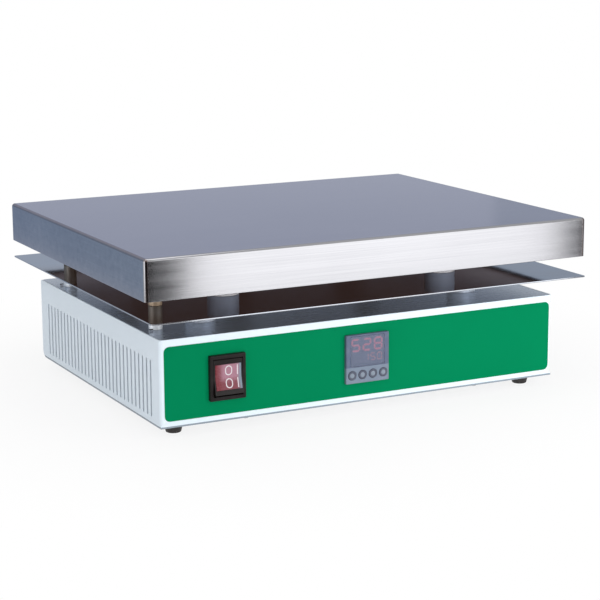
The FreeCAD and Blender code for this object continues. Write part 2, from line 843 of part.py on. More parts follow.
# Casing

def slot_shape(flat, y, low, high, half_width):
    """Draw an upright slot with round ends."""
    centre = value(y)
    bottom, top, half = value(low), value(high), value(half_width)
    point = FreeCAD.Vector
    first = flat.GeometryCount
    round_end = Part.Circle(point(centre, top, 0), point(0, 0, 1), half)
    flat.addGeometry(Part.ArcOfCircle(round_end, 0, math.pi), False)
    flat.addGeometry(Part.LineSegment(point(centre - half, top, 0), point(centre - half, bottom, 0)), False)
    round_end = Part.Circle(point(centre, bottom, 0), point(0, 0, 1), half)
    flat.addGeometry(Part.ArcOfCircle(round_end, math.pi, 2 * math.pi), False)
    flat.addGeometry(Part.LineSegment(point(centre + half, bottom, 0), point(centre + half, top, 0)), False)
    for number in range(4):
        flat.addConstraint(Sketcher.Constraint("Tangent", first + number, 2, first + (number + 1) % 4, 1))
    flat.addConstraint(Sketcher.Constraint("Vertical", first + 1))
    hold(flat, "DistanceX", y, -1, 1, first, 3)
    hold(flat, "DistanceY", high, -1, 1, first, 3)
    hold(flat, "DistanceY", low, -1, 1, first + 2, 3)
    hold(flat, "Radius", half_width, first)


def floor_screw_places():
    """Return the screws that hold the floor pan to the casing's bottom flanges."""
    front = [(f"{side} * floor_screw_x", "flange_width / 2 - inner_front") for side in (-1, 1)]
    sides = [(f"{across} * (inner_side - flange_width / 2)", f"{along} * floor_screw_y") for across, along in CORNERS]
    return front + sides


def panel_cutouts(flat):
    """Draw the openings for the switch and the controller, as seen from the rear of the front wall."""
    rectangle(flat, "switch_x", "switch_level", "2 * (switch_body_side + cutout_gap)",
              "2 * (switch_body_half + cutout_gap)")
    rectangle(flat, "controller_x", "controller_level", "2 * (controller_side + cutout_gap)",
              "2 * (controller_half + cutout_gap)")


def make_casing_shell():
    """Fold the front and both sides from one sheet, with shelves below the top sheet and bottom flanges."""
    shell = new_body("casing_shell")
    plan = sketch(shell, "shell_plan", "XY", "pan_top")
    front, back = "-casing_depth / 2", "inner_rear"
    outline(plan, ("-casing_width / 2", front), ("casing_width / 2", front), ("casing_width / 2", back),
            ("-casing_width / 2", back))
    solid = pad(shell, plan, "casing_level - pan_top")
    bends = fillet(shell, solid, "casing_bend", lambda way, middle: upright(way) and middle.y < 0)
    fillet(shell, bends, "pan_bend - pan_skin",
           lambda way, middle: crosswise(way) and middle.y > 0 and middle.z < value("pan_top + 1"))
    hollow = sketch(shell, "shell_hollow", "XY", "casing_level")
    outline(hollow, ("-inner_side", "-inner_front"), ("inner_side", "-inner_front"), ("inner_side", "casing_depth"),
            ("-inner_side", "casing_depth"))
    opened = pocket(shell, hollow)
    fillet(shell, opened, "casing_bend - casing_skin",
           lambda way, middle: upright(way) and abs(middle.x) < value("inner_side + 0.1") and middle.y < 0)
    slot = sketch(shell, "slot", "YZ")
    first_slot = "-slot_pitch * (slot_count - 1) / 2"
    slot_low = "foot_height + slot_rise + slot_width / 2"
    slot_shape(slot, first_slot, slot_low, f"{slot_low} + slot_height - slot_width", "slot_width / 2")
    first = pocket(shell, slot)
    slots = shell.newObject("PartDesign::LinearPattern", "slots")
    slots.Originals = [first]
    slots.Direction = (next(axis for axis in shell.Origin.OriginFeatures if axis.Role == "Y_Axis"), [""])
    bind(slots, Length="slot_pitch * (slot_count - 1)", Occurrences="slot_count")
    shell.Tip = slots
    cutouts = sketch(shell, "panel_cutouts", "XZ")
    panel_cutouts(cutouts)
    pocket(shell, cutouts)
    add_ledge(shell, "shelf", "shelf_bottom", "shelf_width", "casing_skin", shelf_holes)
    add_ledge(shell, "flange", "pan_top", "flange_width", "casing_skin", flange_holes)


def top_screw_places():
    """Return the places of the top sheet's screws: beside the studs at the left, nearer the middle at the right."""
    return [(f"{x} * top_screw_x", f"{y} * {'top_screw_y' if x < 0 else 'top_screw_right_y'}") for x, y in CORNERS]


def shelf_holes(flat):
    for x, y in STUD_SIDES:
        circle(flat, f"{x} * stud_x", f"{y} * stud_y", "stud_radius + hole_gap")
    for x, y in top_screw_places():
        circle(flat, x, y, "light_screw + thread_gap")


def flange_holes(flat):
    for x, y in floor_screw_places():
        circle(flat, x, y, "light_screw + thread_gap")


def add_ledge(shell, name, level, width, thick, draw_holes):
    """Add an inward ledge along the front and both sides, let into the wall for half its thickness."""
    flat = sketch(shell, name + "_plan", "XY", level)
    side, front = "inner_side + casing_skin / 2", "inner_front + casing_skin / 2"
    rear = "inner_rear - pan_bend - flange_width"
    inner_x, inner_y = f"inner_side - {width}", "flange_width - inner_front"
    outline(flat, (f"-({side})", f"-({front})"), (side, f"-({front})"), (side, rear), (inner_x, rear),
            (inner_x, inner_y), (f"-({inner_x})", inner_y), (f"-({inner_x})", rear), (f"-({side})", rear))
    draw_holes(flat)
    pad(shell, flat, thick)


def make_casing_top():
    """Lay the separate top sheet on the shelves, flush with the casing's rim."""
    top = new_body("casing_top")
    plan = sketch(top, "top_plan", "XY", "shelf_top")
    side, front, back = "(inner_side - top_gap)", "(top_gap - inner_front)", "casing_depth / 2"
    outline(plan, (f"-{side}", front), (side, front), (side, back), (f"-{side}", back))
    for x, y in STUD_SIDES:
        circle(plan, f"{x} * stud_x", f"{y} * stud_y", "stud_radius + hole_gap")
    for x, y in CORNERS:
        circle(plan, f"{x} * lower_drum_x", f"{y} * lower_drum_y", "heavy_screw + hole_gap")
    for x, y in top_screw_places():
        circle(plan, x, y, "light_screw + hole_gap")
    circle(plan, "0", "duct_y", "duct_radius + hole_gap")
    sheet = pad(top, plan, "top_skin")
    fillet(top, sheet, "top_corner", lambda way, middle: upright(way) and abs(middle.x) > value("inner_side - 1"))
    screws = [screw("top_screw", "light", "top_skin + casing_skin + light_screw", x, y, "casing_level", up=False)
              for x, y in top_screw_places()]
    finished(group("casing_top_screws", screws), "casing_top_screws")


def make_floor_pan():
    """Fold the floor and the rear wall from one sheet, with a lip below the top sheet."""
    pan = new_body("floor_pan")
    profile = sketch(pan, "pan_profile", "YZ")
    front, back = "-casing_depth / 2", "casing_depth / 2"
    outline(profile, (front, "foot_height"), (back, "foot_height"), (back, "shelf_top"), ("inner_rear", "shelf_top"),
            ("inner_rear", "pan_top"), (front, "pan_top"))
    folded = pad(pan, profile, "casing_width", both_ways=True)
    outer = fillet(pan, folded, "pan_bend", lambda way, middle: crosswise(way)
                   and middle.y > value("inner_rear + 0.1") and middle.z < value("foot_height + 0.1"))
    fillet(pan, outer, "pan_bend - pan_skin", lambda way, middle: crosswise(way)
           and abs(middle.y - value("inner_rear")) < 0.1 and abs(middle.z - value("pan_top")) < 0.1)
    lip = sketch(pan, "lip_plan", "XY", "shelf_top - pan_skin")
    side = "inner_side - flange_gap"
    outline(lip, (f"-({side})", "inner_rear - flange_width"), (side, "inner_rear - flange_width"),
            (side, "inner_rear + pan_skin / 2"), (f"-({side})", "inner_rear + pan_skin / 2"))
    pad(pan, lip, "pan_skin")
    wall = sketch(pan, "wall_openings", "XZ", "-inner_rear")
    rectangle(wall, "inlet_x", "inlet_level", "inlet_width + 2 * cutout_gap", "inlet_height + 2 * cutout_gap")
    for side in (-1, 1):
        circle(wall, f"inlet_x + {side} * inlet_screw_x", "inlet_level", "light_screw + thread_gap")
    circle(wall, "fuse_x", "fuse_level", "fuse_radius + cutout_gap")
    pocket(pan, wall, "pan_skin")
    floor = sketch(pan, "floor_holes", "XY", "pan_top")
    for x, y in CORNERS:
        circle(floor, f"{x} * foot_x", f"{y} * foot_y", "middle_screw + hole_gap")
    for x, y in floor_screw_places():
        circle(floor, x, y, "light_screw + hole_gap")
    for x, y in sink_screw_places():
        circle(floor, x, y, "middle_screw + hole_gap")
    for x, y in block_screw_places():
        circle(floor, x, y, "light_screw + hole_gap")
    circle(floor, "earth_x", "earth_y", "middle_screw + hole_gap")
    pocket(pan, floor, "pan_skin")
    screws = [screw("floor_screw", "light", "pan_skin + casing_skin + light_screw", x, y, "foot_height")
              for x, y in floor_screw_places()]
    screws += [screw("sink_screw", "middle", "pan_skin + drum_thread", x, y, "foot_height")
               for x, y in sink_screw_places()]
    screws += [screw("block_screw", "light", "pan_skin + block_base / 2", x, y, "foot_height")
               for x, y in block_screw_places()]
    finished(group("floor_screws", screws), "floor_screws")


def make_front_label():
    """Cut the front label with round corners and openings for the switch and the controller."""
    label = new_body("front_label")
    plan = sketch(label, "label_plan", "XZ", "casing_depth / 2")
    rectangle(plan, "0", "foot_height + label_bottom_margin + label_height / 2", "label_width", "label_height")
    panel_cutouts(plan)
    sheet = pad(label, plan, "label_skin")
    fillet(label, sheet, "label_corner",
           lambda way, middle: fore_and_aft(way) and abs(middle.x) > value("label_width / 2 - label_corner"))


def make_feet():
    """Turn four tapered feet with a recess for the screw head, and screw each one to the floor."""
    profile = (("middle_screw + hole_gap", "foot_recess"), ("middle_screw + hole_gap", "foot_height"),
               ("foot_top_radius", "foot_height"), ("foot_bottom_radius", "foot_edge"),
               ("foot_bottom_radius - foot_edge", "0"), ("middle_head + hole_gap", "0"),
               ("middle_head + hole_gap", "foot_recess"))
    screws, nuts = [], []
    for across, along in CORNERS:
        name = f"foot_{'front' if along < 0 else 'rear'}_{'left' if across < 0 else 'right'}"
        foot = new_body(name)
        half = sketch(foot, "foot_profile", "XZ")
        outline(half, *profile)
        turned = foot.newObject("PartDesign::Revolution", "foot_turned")
        turned.Profile = half
        turned.ReferenceAxis = (half, ["V_Axis"])
        turned.Angle = 360
        x, y = f"{across} * foot_x", f"{along} * foot_y"
        place(foot, x, y)
        length = "foot_height - foot_recess + pan_skin + nut_height"
        screws.append(screw("foot_screw", "middle", length, x, y, "foot_recess"))
        nuts.append(cut("foot_nut", hexagon("foot_nut_body", "nut_width", "nut_height", x, y, "pan_top"),
                        rod("foot_nut_bore", "middle_screw + thread_gap", "nut_height", x, y, "pan_top")))
    finished(group("foot_screws", screws + nuts), "foot_screws")


# Rocker switch

def make_switch_housing():
    """Make the frame and the body of the switch, with a cavity for the rocker and bearing holes."""
    housing = new_body("switch_housing")
    frame = sketch(housing, "switch_frame", "XZ", "label_face")
    rectangle(frame, "switch_x", "switch_level", "switch_width", "switch_height")
    front = pad(housing, frame, "switch_proud")
    fillet(housing, front, "switch_edge", lambda way, middle: fore_and_aft(way)
           or middle.y < value("0.1 - switch_front"))
    body = sketch(housing, "switch_body", "XZ", "switch_back")
    rectangle(body, "switch_x", "switch_level", "2 * switch_body_side", "2 * switch_body_half")
    pad(housing, body, "switch_depth")
    mouth = sketch(housing, "switch_mouth", "XZ", "switch_front")
    rectangle(mouth, "switch_x", "switch_level", "switch_mouth_width", "switch_mouth_height")
    pocket(housing, mouth, "switch_cavity")
    bearing = sketch(housing, "switch_bearing", "YZ", "switch_x")
    circle(bearing, "-pivot_depth", "switch_level", "trunnion_radius + trunnion_gap")
    holes = pocket(housing, bearing, "2 * switch_body_side")
    holes.Midplane = True
    tabs = [block("switch_tab",
                  (f"switch_x + {x} * tab_x - tab_width / 2", f"switch_x + {x} * tab_x + tab_width / 2"),
                  ("-switch_back", "tab_length - switch_back"),
                  (f"switch_level + {z} * tab_z - tab_thick / 2", f"switch_level + {z} * tab_z + tab_thick / 2"))
            for x, z in CORNERS]
    finished(group("switch_tabs", tabs), "switch_tabs")


def turn_about_pivot(body):
    """Put a body whose own origin is the pivot at the pivot, tilted with its upper half pressed."""
    body.Placement.Rotation = FreeCAD.Rotation(FreeCAD.Vector(-1, 0, 0), value("rocker_angle"))
    body.setExpression("Placement.Rotation.Angle", with_cells("rocker_angle"))
    place(body, "switch_x", "-pivot_depth", "switch_level")


def make_rocker():
    """Make the rocker about its pivot: a drum-shaped back, a shallow V front and two trunnions."""
    rocker = new_body("switch_rocker")
    side = sketch(rocker, "rocker_side", "YZ")
    circle(side, "0", "0", "rocker_radius")
    solid = pad(rocker, side, "2 * rocker_side", both_ways=True)
    doc.recompute()
    trim = sketch(rocker, "rocker_trim", "YZ")
    slope, far = "rocker_radius * tan(rocker_angle)", "2 * rocker_radius"
    outline(trim, ("-rocker_valley", "0"), (f"-rocker_valley - 2 * {slope}", far), (f"-{far}", far),
            (f"-{far}", f"-{far}"), (f"-rocker_valley - 2 * {slope}", f"-{far}"))
    pocket(rocker, trim)
    back = sketch(rocker, "rocker_rear", "YZ")
    outline(back, ("rocker_back", f"-{far}"), (far, f"-{far}"), (far, far), ("rocker_back", far))
    pocket(rocker, back)
    seat = sketch(rocker, "lens_seat", "YZ")
    lens_band(seat, "lens_half_height + lens_gap", "rocker_radius", "lens_seat")
    lens_recess = pocket(rocker, seat, "lens_width + 2 * lens_gap")
    lens_recess.Midplane = True
    pins = sketch(rocker, "trunnions", "YZ")
    circle(pins, "0", "0", "trunnion_radius")
    pad(rocker, pins, "2 * (rocker_side + trunnion_length)", both_ways=True)
    turn_about_pivot(rocker)


def lens_band(flat, half_height, forward, depth):
    """Draw a V-shaped band from a distance before the rocker's front to a depth behind it."""
    rise = f"({half_height}) * tan(rocker_angle)"
    outline(flat, (f"-rocker_valley - {forward}", "0"), (f"-rocker_valley - {rise} - {forward}", half_height),
            (f"-rocker_valley - {rise} + {depth}", half_height), (f"-rocker_valley + {depth}", "0"),
            (f"-rocker_valley - {rise} + {depth}", f"-({half_height})"),
            (f"-rocker_valley - {rise} - {forward}", f"-({half_height})"))


def make_lens():
    """Make the red lens that fills the middle of the rocker."""
    lens = new_body("switch_lens")
    side = sketch(lens, "lens_side", "YZ")
    lens_band(side, "lens_half_height", "(lens_thick - lens_seat)", "lens_seat")
    pad(lens, side, "lens_width", both_ways=True)
    turn_about_pivot(lens)


# Temperature controller

def key_places():
    return [f"controller_x + {step} * key_pitch" for step in (-1.5, -0.5, 0.5, 1.5)]


def make_controller_bezel():
    """Make the controller's front with a stepped window opening and four stepped key bores."""
    bezel = new_body("controller_bezel")
    plan = sketch(bezel, "bezel_plan", "XZ", "label_face")
    rectangle(plan, "controller_x", "controller_level", "controller_width", "controller_height")
    solid = pad(bezel, plan, "controller_proud")
    fillet(bezel, solid, "controller_edge", lambda way, middle: fore_and_aft(way)
           or middle.y < value("0.1 - controller_front"))
    seat = sketch(bezel, "window_seat", "XZ", "controller_front")
    rectangle(seat, "controller_x", "window_level", "window_width + 2 * window_gap", "window_height + 2 * window_gap")
    pocket(bezel, seat, "window_thick")
    through = sketch(bezel, "window_opening", "XZ")
    rectangle(through, "controller_x", "window_level", "window_width - 2 * window_ledge",
              "window_height - 2 * window_ledge")
    for x in key_places():
        circle(through, x, "key_level", "key_stem + key_gap")
    pocket(bezel, through)
    bores = sketch(bezel, "key_bores", "XZ", "controller_front")
    for x in key_places():
        circle(bores, x, "key_level", "key_radius + key_gap")
    pocket(bezel, bores, "key_bore_depth")


def make_window():
    """Make the flat pane in the window seat."""
    pane = block("controller_window", ("controller_x - window_width / 2", "controller_x + window_width / 2"),
                 ("-controller_front", "-window_back"),
                 ("window_level - window_height / 2", "window_level + window_height / 2"))
    finished(pane, "controller_window")


def make_controller_housing():
    """Make the controller's case behind the panel, open to the bezel, and its rear terminal strip."""
    def box(name, inset, front, back):
        side, half = f"(controller_side - {inset})", f"(controller_half - {inset})"
        return block(name, (f"controller_x - {side}", f"controller_x + {side}"), (f"-({front})", f"-({back})"),
                     (f"controller_level - {half}", f"controller_level + {half}"))
    case = box("case_outside", "0", "label_face", "controller_rear")
    inside = box("case_inside", "controller_wall", "label_face", "controller_rear + controller_back")
    finished(cut("controller_housing", case, inside), "controller_housing")
    strip_z = ("controller_level - rear_strip_height / 2", "controller_level + rear_strip_height / 2")
    strip = block("strip_body", ("controller_x - controller_side + controller_back",
                                 "controller_x + controller_side - controller_back"),
                  ("-controller_rear", "-strip_back"), strip_z)
    finished(strip, "controller_terminals")


def make_keys():
    """Make four keys: a cap in the front bore, a stem, a flange behind the bezel and a nib."""
    for number, x in enumerate(key_places(), 1):
        steps = (("key_radius", "controller_front + key_proud", "controller_front + key_proud - key_cap"),
                 ("key_stem", "controller_front + key_proud - key_cap", "key_flange_front"),
                 ("key_flange", "key_flange_front", "key_flange_front - key_flange_thick"),
                 ("key_nib", "key_flange_front - key_flange_thick", "key_end"))
        rounds = [rod("key_step", radius, f"{front} - ({back})", x, f"-({front})", "key_level", "Y")
                  for radius, front, back in steps]
        node = f"controller_key_{number}"
        finished(fuse(node, *rounds), node)


def make_boards():
    """Make the display board with its two digit modules, and the board along the case."""
    side, half = "(controller_side - controller_wall)", "(controller_half - controller_wall)"
    board_back = "display_board_front - display_board_thick"
    width = (f"controller_x - {side}", f"controller_x + {side}")
    board = block("display_board", width, ("-display_board_front", f"-({board_back})"),
                  (f"controller_level - {half}", f"controller_level + {half}"))
    finished(board, "display_board")
    front = "(window_back - module_gap)"
    reach = ("controller_x - window_width / 2 + module_inset", "controller_x + window_width / 2 - module_inset")
    top = "window_level + window_height / 2 - module_inset"
    between = f"{top} - large_module_height"
    large = block("large_digits", reach, (f"-{front}", "-display_board_front"), (between, top))
    small = block("small_digits", reach, (f"-{front}", "-display_board_front"),
                  (f"{between} - module_gap - small_module_height", f"{between} - module_gap"))
    finished(group("display_modules", [large, small]), "display_modules")
    control = block("control_board", width, (f"-({board_back})", "-controller_rear - controller_back"),
                    ("controller_level - control_board_thick / 2", "controller_level + control_board_thick / 2"))
    finished(control, "control_board")


# Power parts

def sink_screw_places():
    return [(f"relay_x + {side} * (sink_width / 2 - sink_end_fin / 2)", "relay_y") for side in (-1, 1)]


def make_relay():
    """Stand the relay on its heat sink, which is screwed to the floor through its thick end fins."""
    depth = ("relay_y - sink_depth / 2", "relay_y + sink_depth / 2")
    base = block("sink_plate", ("relay_x - sink_width / 2", "relay_x + sink_width / 2"), depth,
                 ("sink_top - sink_base", "sink_top"))
    fins = [block("sink_fin", (f"relay_x + ({step}) * sink_fin_pitch - sink_fin / 2",
                               f"relay_x + ({step}) * sink_fin_pitch + sink_fin / 2"), depth,
                  ("pan_top", "sink_top - sink_base / 2")) for step in range(-3, 4)]
    for side in (-1, 1):
        middle = f"relay_x + {side} * (sink_width / 2 - sink_end_fin / 2)"
        fins.append(block("sink_end", (f"{middle} - sink_end_fin / 2", f"{middle} + sink_end_fin / 2"), depth,
                          ("pan_top", "sink_top - sink_base / 2")))
    threads = [rod("sink_thread", "middle_screw + thread_gap", "drum_thread", x, y, "pan_top")
               for x, y in sink_screw_places()]
    finished(cut("relay_heat_sink", fuse("sink_body", base, *fins), *threads), "relay_heat_sink")
    body = block("relay_body", ("relay_x - relay_width / 2", "relay_x + relay_width / 2"),
                 ("relay_y - relay_depth / 2", "relay_y + relay_depth / 2"), ("sink_top", "relay_top"))
    posts = [rod("relay_post", "relay_terminal_radius", "relay_terminal_height",
                 f"relay_x + {x} * relay_terminal_x", f"relay_y + {y} * relay_terminal_y", "relay_top")
             for x, y in CORNERS]
    finished(fuse("solid_state_relay", body, *posts), "solid_state_relay")


def block_ways():
    """Return the centre of each way of the terminal block."""
    return [f"block_x + ({step}) * block_pitch" for step in (-2.5, -1.5, -0.5, 0.5, 1.5, 2.5)]


def block_screw_places():
    return [(f"block_x + {side} * block_pitch", "block_y") for side in (-1, 1)]


def make_terminal_block():
    """Make a six-way terminal block with a round tower at each way, screwed down between its ways."""
    base = block("block_base", ("block_x - block_width / 2", "block_x + block_width / 2"),
                 ("block_y - block_depth / 2", "block_y + block_depth / 2"), ("pan_top", "pan_top + block_base"))
    towers = [block("block_tower", (f"{x} - block_tower / 2", f"{x} + block_tower / 2"),
                    ("block_y - block_depth / 2", "block_y + block_depth / 2"), ("pan_top", "block_top"))
              for x in block_ways()]
    threads = [rod("block_thread", "light_screw + thread_gap", "block_base / 2", x, y, "pan_top")
               for x, y in block_screw_places()]
    finished(cut("terminal_block", fuse("block_body", base, *towers), *threads), "terminal_block")


def make_earth_stud():
    """Screw the earth stud up through the floor and hold it with a nut."""
    stud = screw("earth_bolt", "middle", "pan_skin + earth_height", "earth_x", "earth_y", "foot_height")
    bolt_nut = cut("earth_nut", hexagon("earth_nut_body", "nut_width", "nut_height", "earth_x", "earth_y", "pan_top"),
                   rod("earth_nut_bore", "middle_screw + thread_gap", "nut_height", "earth_x", "earth_y", "pan_top"))
    finished(group("earth_stud", [stud, bolt_nut]), "earth_stud")


def inlet_contacts():
    """Return the live, earth and neutral contact places of the mains inlet."""
    return [("inlet_x - inlet_pin_x", "inlet_level + inlet_pin_z"), ("inlet_x", "inlet_level - inlet_pin_z"),
            ("inlet_x + inlet_pin_x", "inlet_level + inlet_pin_z")]


def make_inlet():
    """Make the three-pole mains inlet: a flanged socket through the rear wall, its pins, tabs and screws."""
    inlet = new_body("mains_inlet")
    back_wall = "casing_depth / 2"
    flange = sketch(inlet, "inlet_flange", "XZ", f"-{back_wall} - inlet_flange_thick")
    rectangle(flange, "inlet_x", "inlet_level", "inlet_flange_width", "inlet_flange_height")
    plate = pad(inlet, flange, "inlet_flange_thick")
    fillet(inlet, plate, "inlet_flange_thick", lambda way, middle: fore_and_aft(way))
    sides = sketch(inlet, "inlet_body", "XZ", f"-{back_wall} - inlet_flange_thick / 2")
    rectangle(sides, "inlet_x", "inlet_level", "inlet_width", "inlet_height")
    pad(inlet, sides, f"{back_wall} + inlet_flange_thick / 2 - inlet_back")
    mouth = sketch(inlet, "inlet_mouth", "XZ", f"inlet_mouth_depth - {back_wall} - inlet_flange_thick")
    rectangle(mouth, "inlet_x", "inlet_level", "inlet_mouth_width", "inlet_mouth_height")
    pocket(inlet, mouth, "inlet_mouth_depth")
    holes = sketch(inlet, "inlet_holes", "XZ", f"-{back_wall}")
    for side in (-1, 1):
        circle(holes, f"inlet_x + {side} * inlet_screw_x", "inlet_level", "light_screw + hole_gap")
    pocket(inlet, holes, "inlet_flange_thick")
    pins, tabs = [], []
    flange_face = f"{back_wall} + inlet_flange_thick"
    floor, pin_tip = f"{flange_face} - inlet_mouth_depth", f"{flange_face} - inlet_pin_recess"
    for x, z in inlet_contacts():
        across = (f"{x} - inlet_pin_width / 2", f"{x} + inlet_pin_width / 2")
        upward = (f"{z} - inlet_pin_height / 2", f"{z} + inlet_pin_height / 2")
        pins.append(block("inlet_pin", across, (floor, pin_tip), upward))
        tabs.append(block("inlet_tab", (f"{x} - tab_thick / 2", f"{x} + tab_thick / 2"),
                          ("inlet_tab_end", "inlet_back"), (f"{z} - tab_width / 2", f"{z} + tab_width / 2")))
    finished(group("inlet_contacts", pins + tabs), "inlet_contacts")
    screws = []
    for side in (-1, 1):
        x, head_y = f"inlet_x + {side} * inlet_screw_x", f"{back_wall} + inlet_flange_thick"
        head = rod("inlet_screw_head", "light_head", "light_head_height", x, head_y, "inlet_level", "Y")
        shank = rod("inlet_screw_shank", "light_screw", "inlet_flange_thick + pan_skin", x, "inner_rear",
                    "inlet_level", "Y")
        screws.append(fuse("inlet_screw", head, shank))
    finished(group("inlet_screws", screws), "inlet_screws")


def make_fuse_holder():
    """Make the fuse holder: a cap outside the rear wall, a body inside and a tab for the wire."""
    cap = rod("fuse_cap", "fuse_cap", "fuse_cap_length", "fuse_x", "casing_depth / 2", "fuse_level", "Y")
    body = rod("fuse_body", "fuse_radius", "fuse_length + pan_skin", "fuse_x", "fuse_back", "fuse_level", "Y")
    tab = block("fuse_tab", ("fuse_x - tab_thick / 2", "fuse_x + tab_thick / 2"), ("fuse_tab_end", "fuse_back"),
                ("fuse_level - tab_width / 2", "fuse_level + tab_width / 2"))
    side_tab = block("fuse_side_tab", ("fuse_x + fuse_radius - tab_thick", "fuse_x + fuse_radius + tab_length"),
                     ("fuse_back + tab_width / 2", "fuse_back + 3 * tab_width / 2"),
                     ("fuse_level - tab_thick / 2", "fuse_level + tab_thick / 2"))
    finished(fuse("fuse_holder", cap, body, tab, side_tab), "fuse_holder")


# Wires

def wire(name, radius, *route):
    """Sweep a wire through route points with a tangent arc at each turn, and check its volume."""
    points = [FreeCAD.Vector(*(value(text) for text in spot)) for spot in route]
    bend = value("wire_bend")
    edges = []
    start = points[0]
    for before, corner, after in zip(points, points[1:], points[2:]):
        back, onward = (before - corner), (after - corner)
        shorter = min(back.Length, onward.Length)
        back.normalize()
        onward.normalize()
        half_turn = (math.pi - back.getAngle(onward)) / 2
        if half_turn < 0.001:
            continue
        arc_radius = min(0.45 * shorter / math.tan(half_turn), bend)
        reach = arc_radius * math.tan(half_turn)
        first, last = corner + back * reach, corner + onward * reach
        inward = (back + onward).normalize()
        middle = corner + inward * (arc_radius / math.cos(half_turn) - arc_radius)
        edges.append(Part.LineSegment(start, first).toShape())
        edges.append(Part.Arc(first, middle, last).toShape())
        start = last
    edges.append(Part.LineSegment(start, points[-1]).toShape())
    path = Part.Wire(edges)
    section = Part.Wire([Part.Circle(points[0], points[1] - points[0], value(radius)).toShape()])
    shape = path.makePipeShell([section], True, True)
    expected = math.pi * value(radius) ** 2 * path.Length
    if abs(shape.Volume / expected - 1) > 0.01:
        raise ValueError(f"{name} has {shape.Volume:.1f} of the {expected:.1f} that its route needs")
    feature = doc.addObject("Part::Feature", name)
    feature.Shape = shape
    return feature


def make_head_wires():
    """Lead the heater wires and the probe's wire over the board and down the duct."""
    level = "head_wire_level"
    front_y, rear_y = "duct_y - duct_offset", "duct_y + duct_offset"
    front_pin, rear_pin = "-element_pitch - element_leg", "element_pitch + element_leg"
    run, high, low = "head_run_x", "heater_run", "sensor_run"
    load_x, load_y = "relay_x + relay_terminal_x", "relay_y + relay_terminal_y"
    way = block_ways()[3]
    front = wire("front_heater_wire", "power_wire", ("pin_end", front_pin, "element_level"),
                 (run, front_pin, "element_level"), (run, f"{front_pin} + pin_exit", level), (run, front_y, level),
                 ("duct_offset", front_y, level), ("duct_offset", front_y, high), (load_x, front_y, high),
                 (load_x, load_y, high), (load_x, load_y, "relay_terminal_top"))
    rear = wire("rear_heater_wire", "power_wire", ("pin_end", rear_pin, "element_level"),
                ("pin_end + pin_exit", rear_pin, "element_level"), ("pin_end + pin_exit", rear_y, level),
                ("duct_offset", rear_y, level), ("duct_offset", rear_y, low), (way, rear_y, low),
                (way, "block_y", low), (way, "block_y", "block_top"))
    finished(group("heater_wires", [front, rear]), "heater_wires")
    exit_x = "probe_end_x - probe_exit"
    sensor = wire("probe_wire", "signal_wire", ("probe_end_x", "0", "probe_level"), (exit_x, "0", "probe_level"),
                  (exit_x, "probe_exit", level), (exit_x, "duct_y", level), ("-duct_offset", "duct_y", level),
                  ("-duct_offset", "duct_y", low), ("-duct_offset", "-strip_back", low))
    finished(sensor, "probe_wire")


def make_mains_wires():
    """Lead the mains from the inlet and the fuse to the switch, and from there back to the block."""
    live, earth, neutral = inlet_contacts()
    low = "floor_run"
    left_tab, right_tab = "switch_x - tab_x", "switch_x + tab_x"
    low_tab, high_tab = "switch_level - tab_z", "switch_level + tab_z"
    tab_end = "tab_length - switch_back"
    stub_end, inlet_stub = f"{tab_end} + wire_stub", "inlet_tab_end - wire_stub / 2"
    fuse_side = "fuse_x + fuse_radius + tab_length"
    ways = block_ways()
    to_fuse = wire("fuse_wire", "power_wire", (live[0], "inlet_tab_end", live[1]),
                   (live[0], "rear_run_y", live[1]), (f"{fuse_side} + wire_bend / 2", "rear_run_y", "fuse_level"),
                   (f"{fuse_side} + wire_bend / 2", "fuse_back + tab_width", "fuse_level"),
                   (fuse_side, "fuse_back + tab_width", "fuse_level"))
    fused = wire("fused_wire", "power_wire", ("fuse_x", "fuse_tab_end", "fuse_level"),
                 ("fuse_x", "fused_run_y", "fuse_level"), (right_tab, "fused_run_y", "fuse_level"),
                 (right_tab, stub_end, low_tab), (right_tab, tab_end, low_tab))
    neutral = wire("neutral_wire", "power_wire", (neutral[0], "inlet_tab_end", neutral[1]),
                   (neutral[0], inlet_stub, neutral[1]), (neutral[0], "rear_run_y", low),
                   (left_tab, "rear_run_y", low), (left_tab, "-fused_run_y", low), (left_tab, stub_end, low_tab),
                   (left_tab, tab_end, low_tab))
    switched = "switch_run"
    onward = wire("switched_live_wire", "power_wire", (right_tab, tab_end, high_tab),
                  (right_tab, stub_end, high_tab), (right_tab, "switch_run_y", switched),
                  (ways[0], "switch_run_y", switched), (ways[0], "block_y", switched),
                  (ways[0], "block_y", "block_top"))
    returning = "neutral_run"
    back = wire("switched_neutral_wire", "power_wire", (left_tab, tab_end, high_tab),
                (left_tab, stub_end, high_tab), (left_tab, "neutral_run_y", returning),
                (ways[1], "neutral_run_y", returning), (ways[1], "block_y", returning),
                (ways[1], "block_y", "block_top"))
    finished(group("mains_wires", [to_fuse, fused, neutral, onward, back]), "mains_wires")
    ground = wire("earth_wire", "power_wire", (earth[0], "inlet_tab_end", earth[1]),
                  (earth[0], inlet_stub, earth[1]), (earth[0], "earth_y", low), ("earth_x", "earth_y", low),
                  ("earth_x", "earth_y", "pan_top + earth_height"))
    finished(ground, "earth_wire")


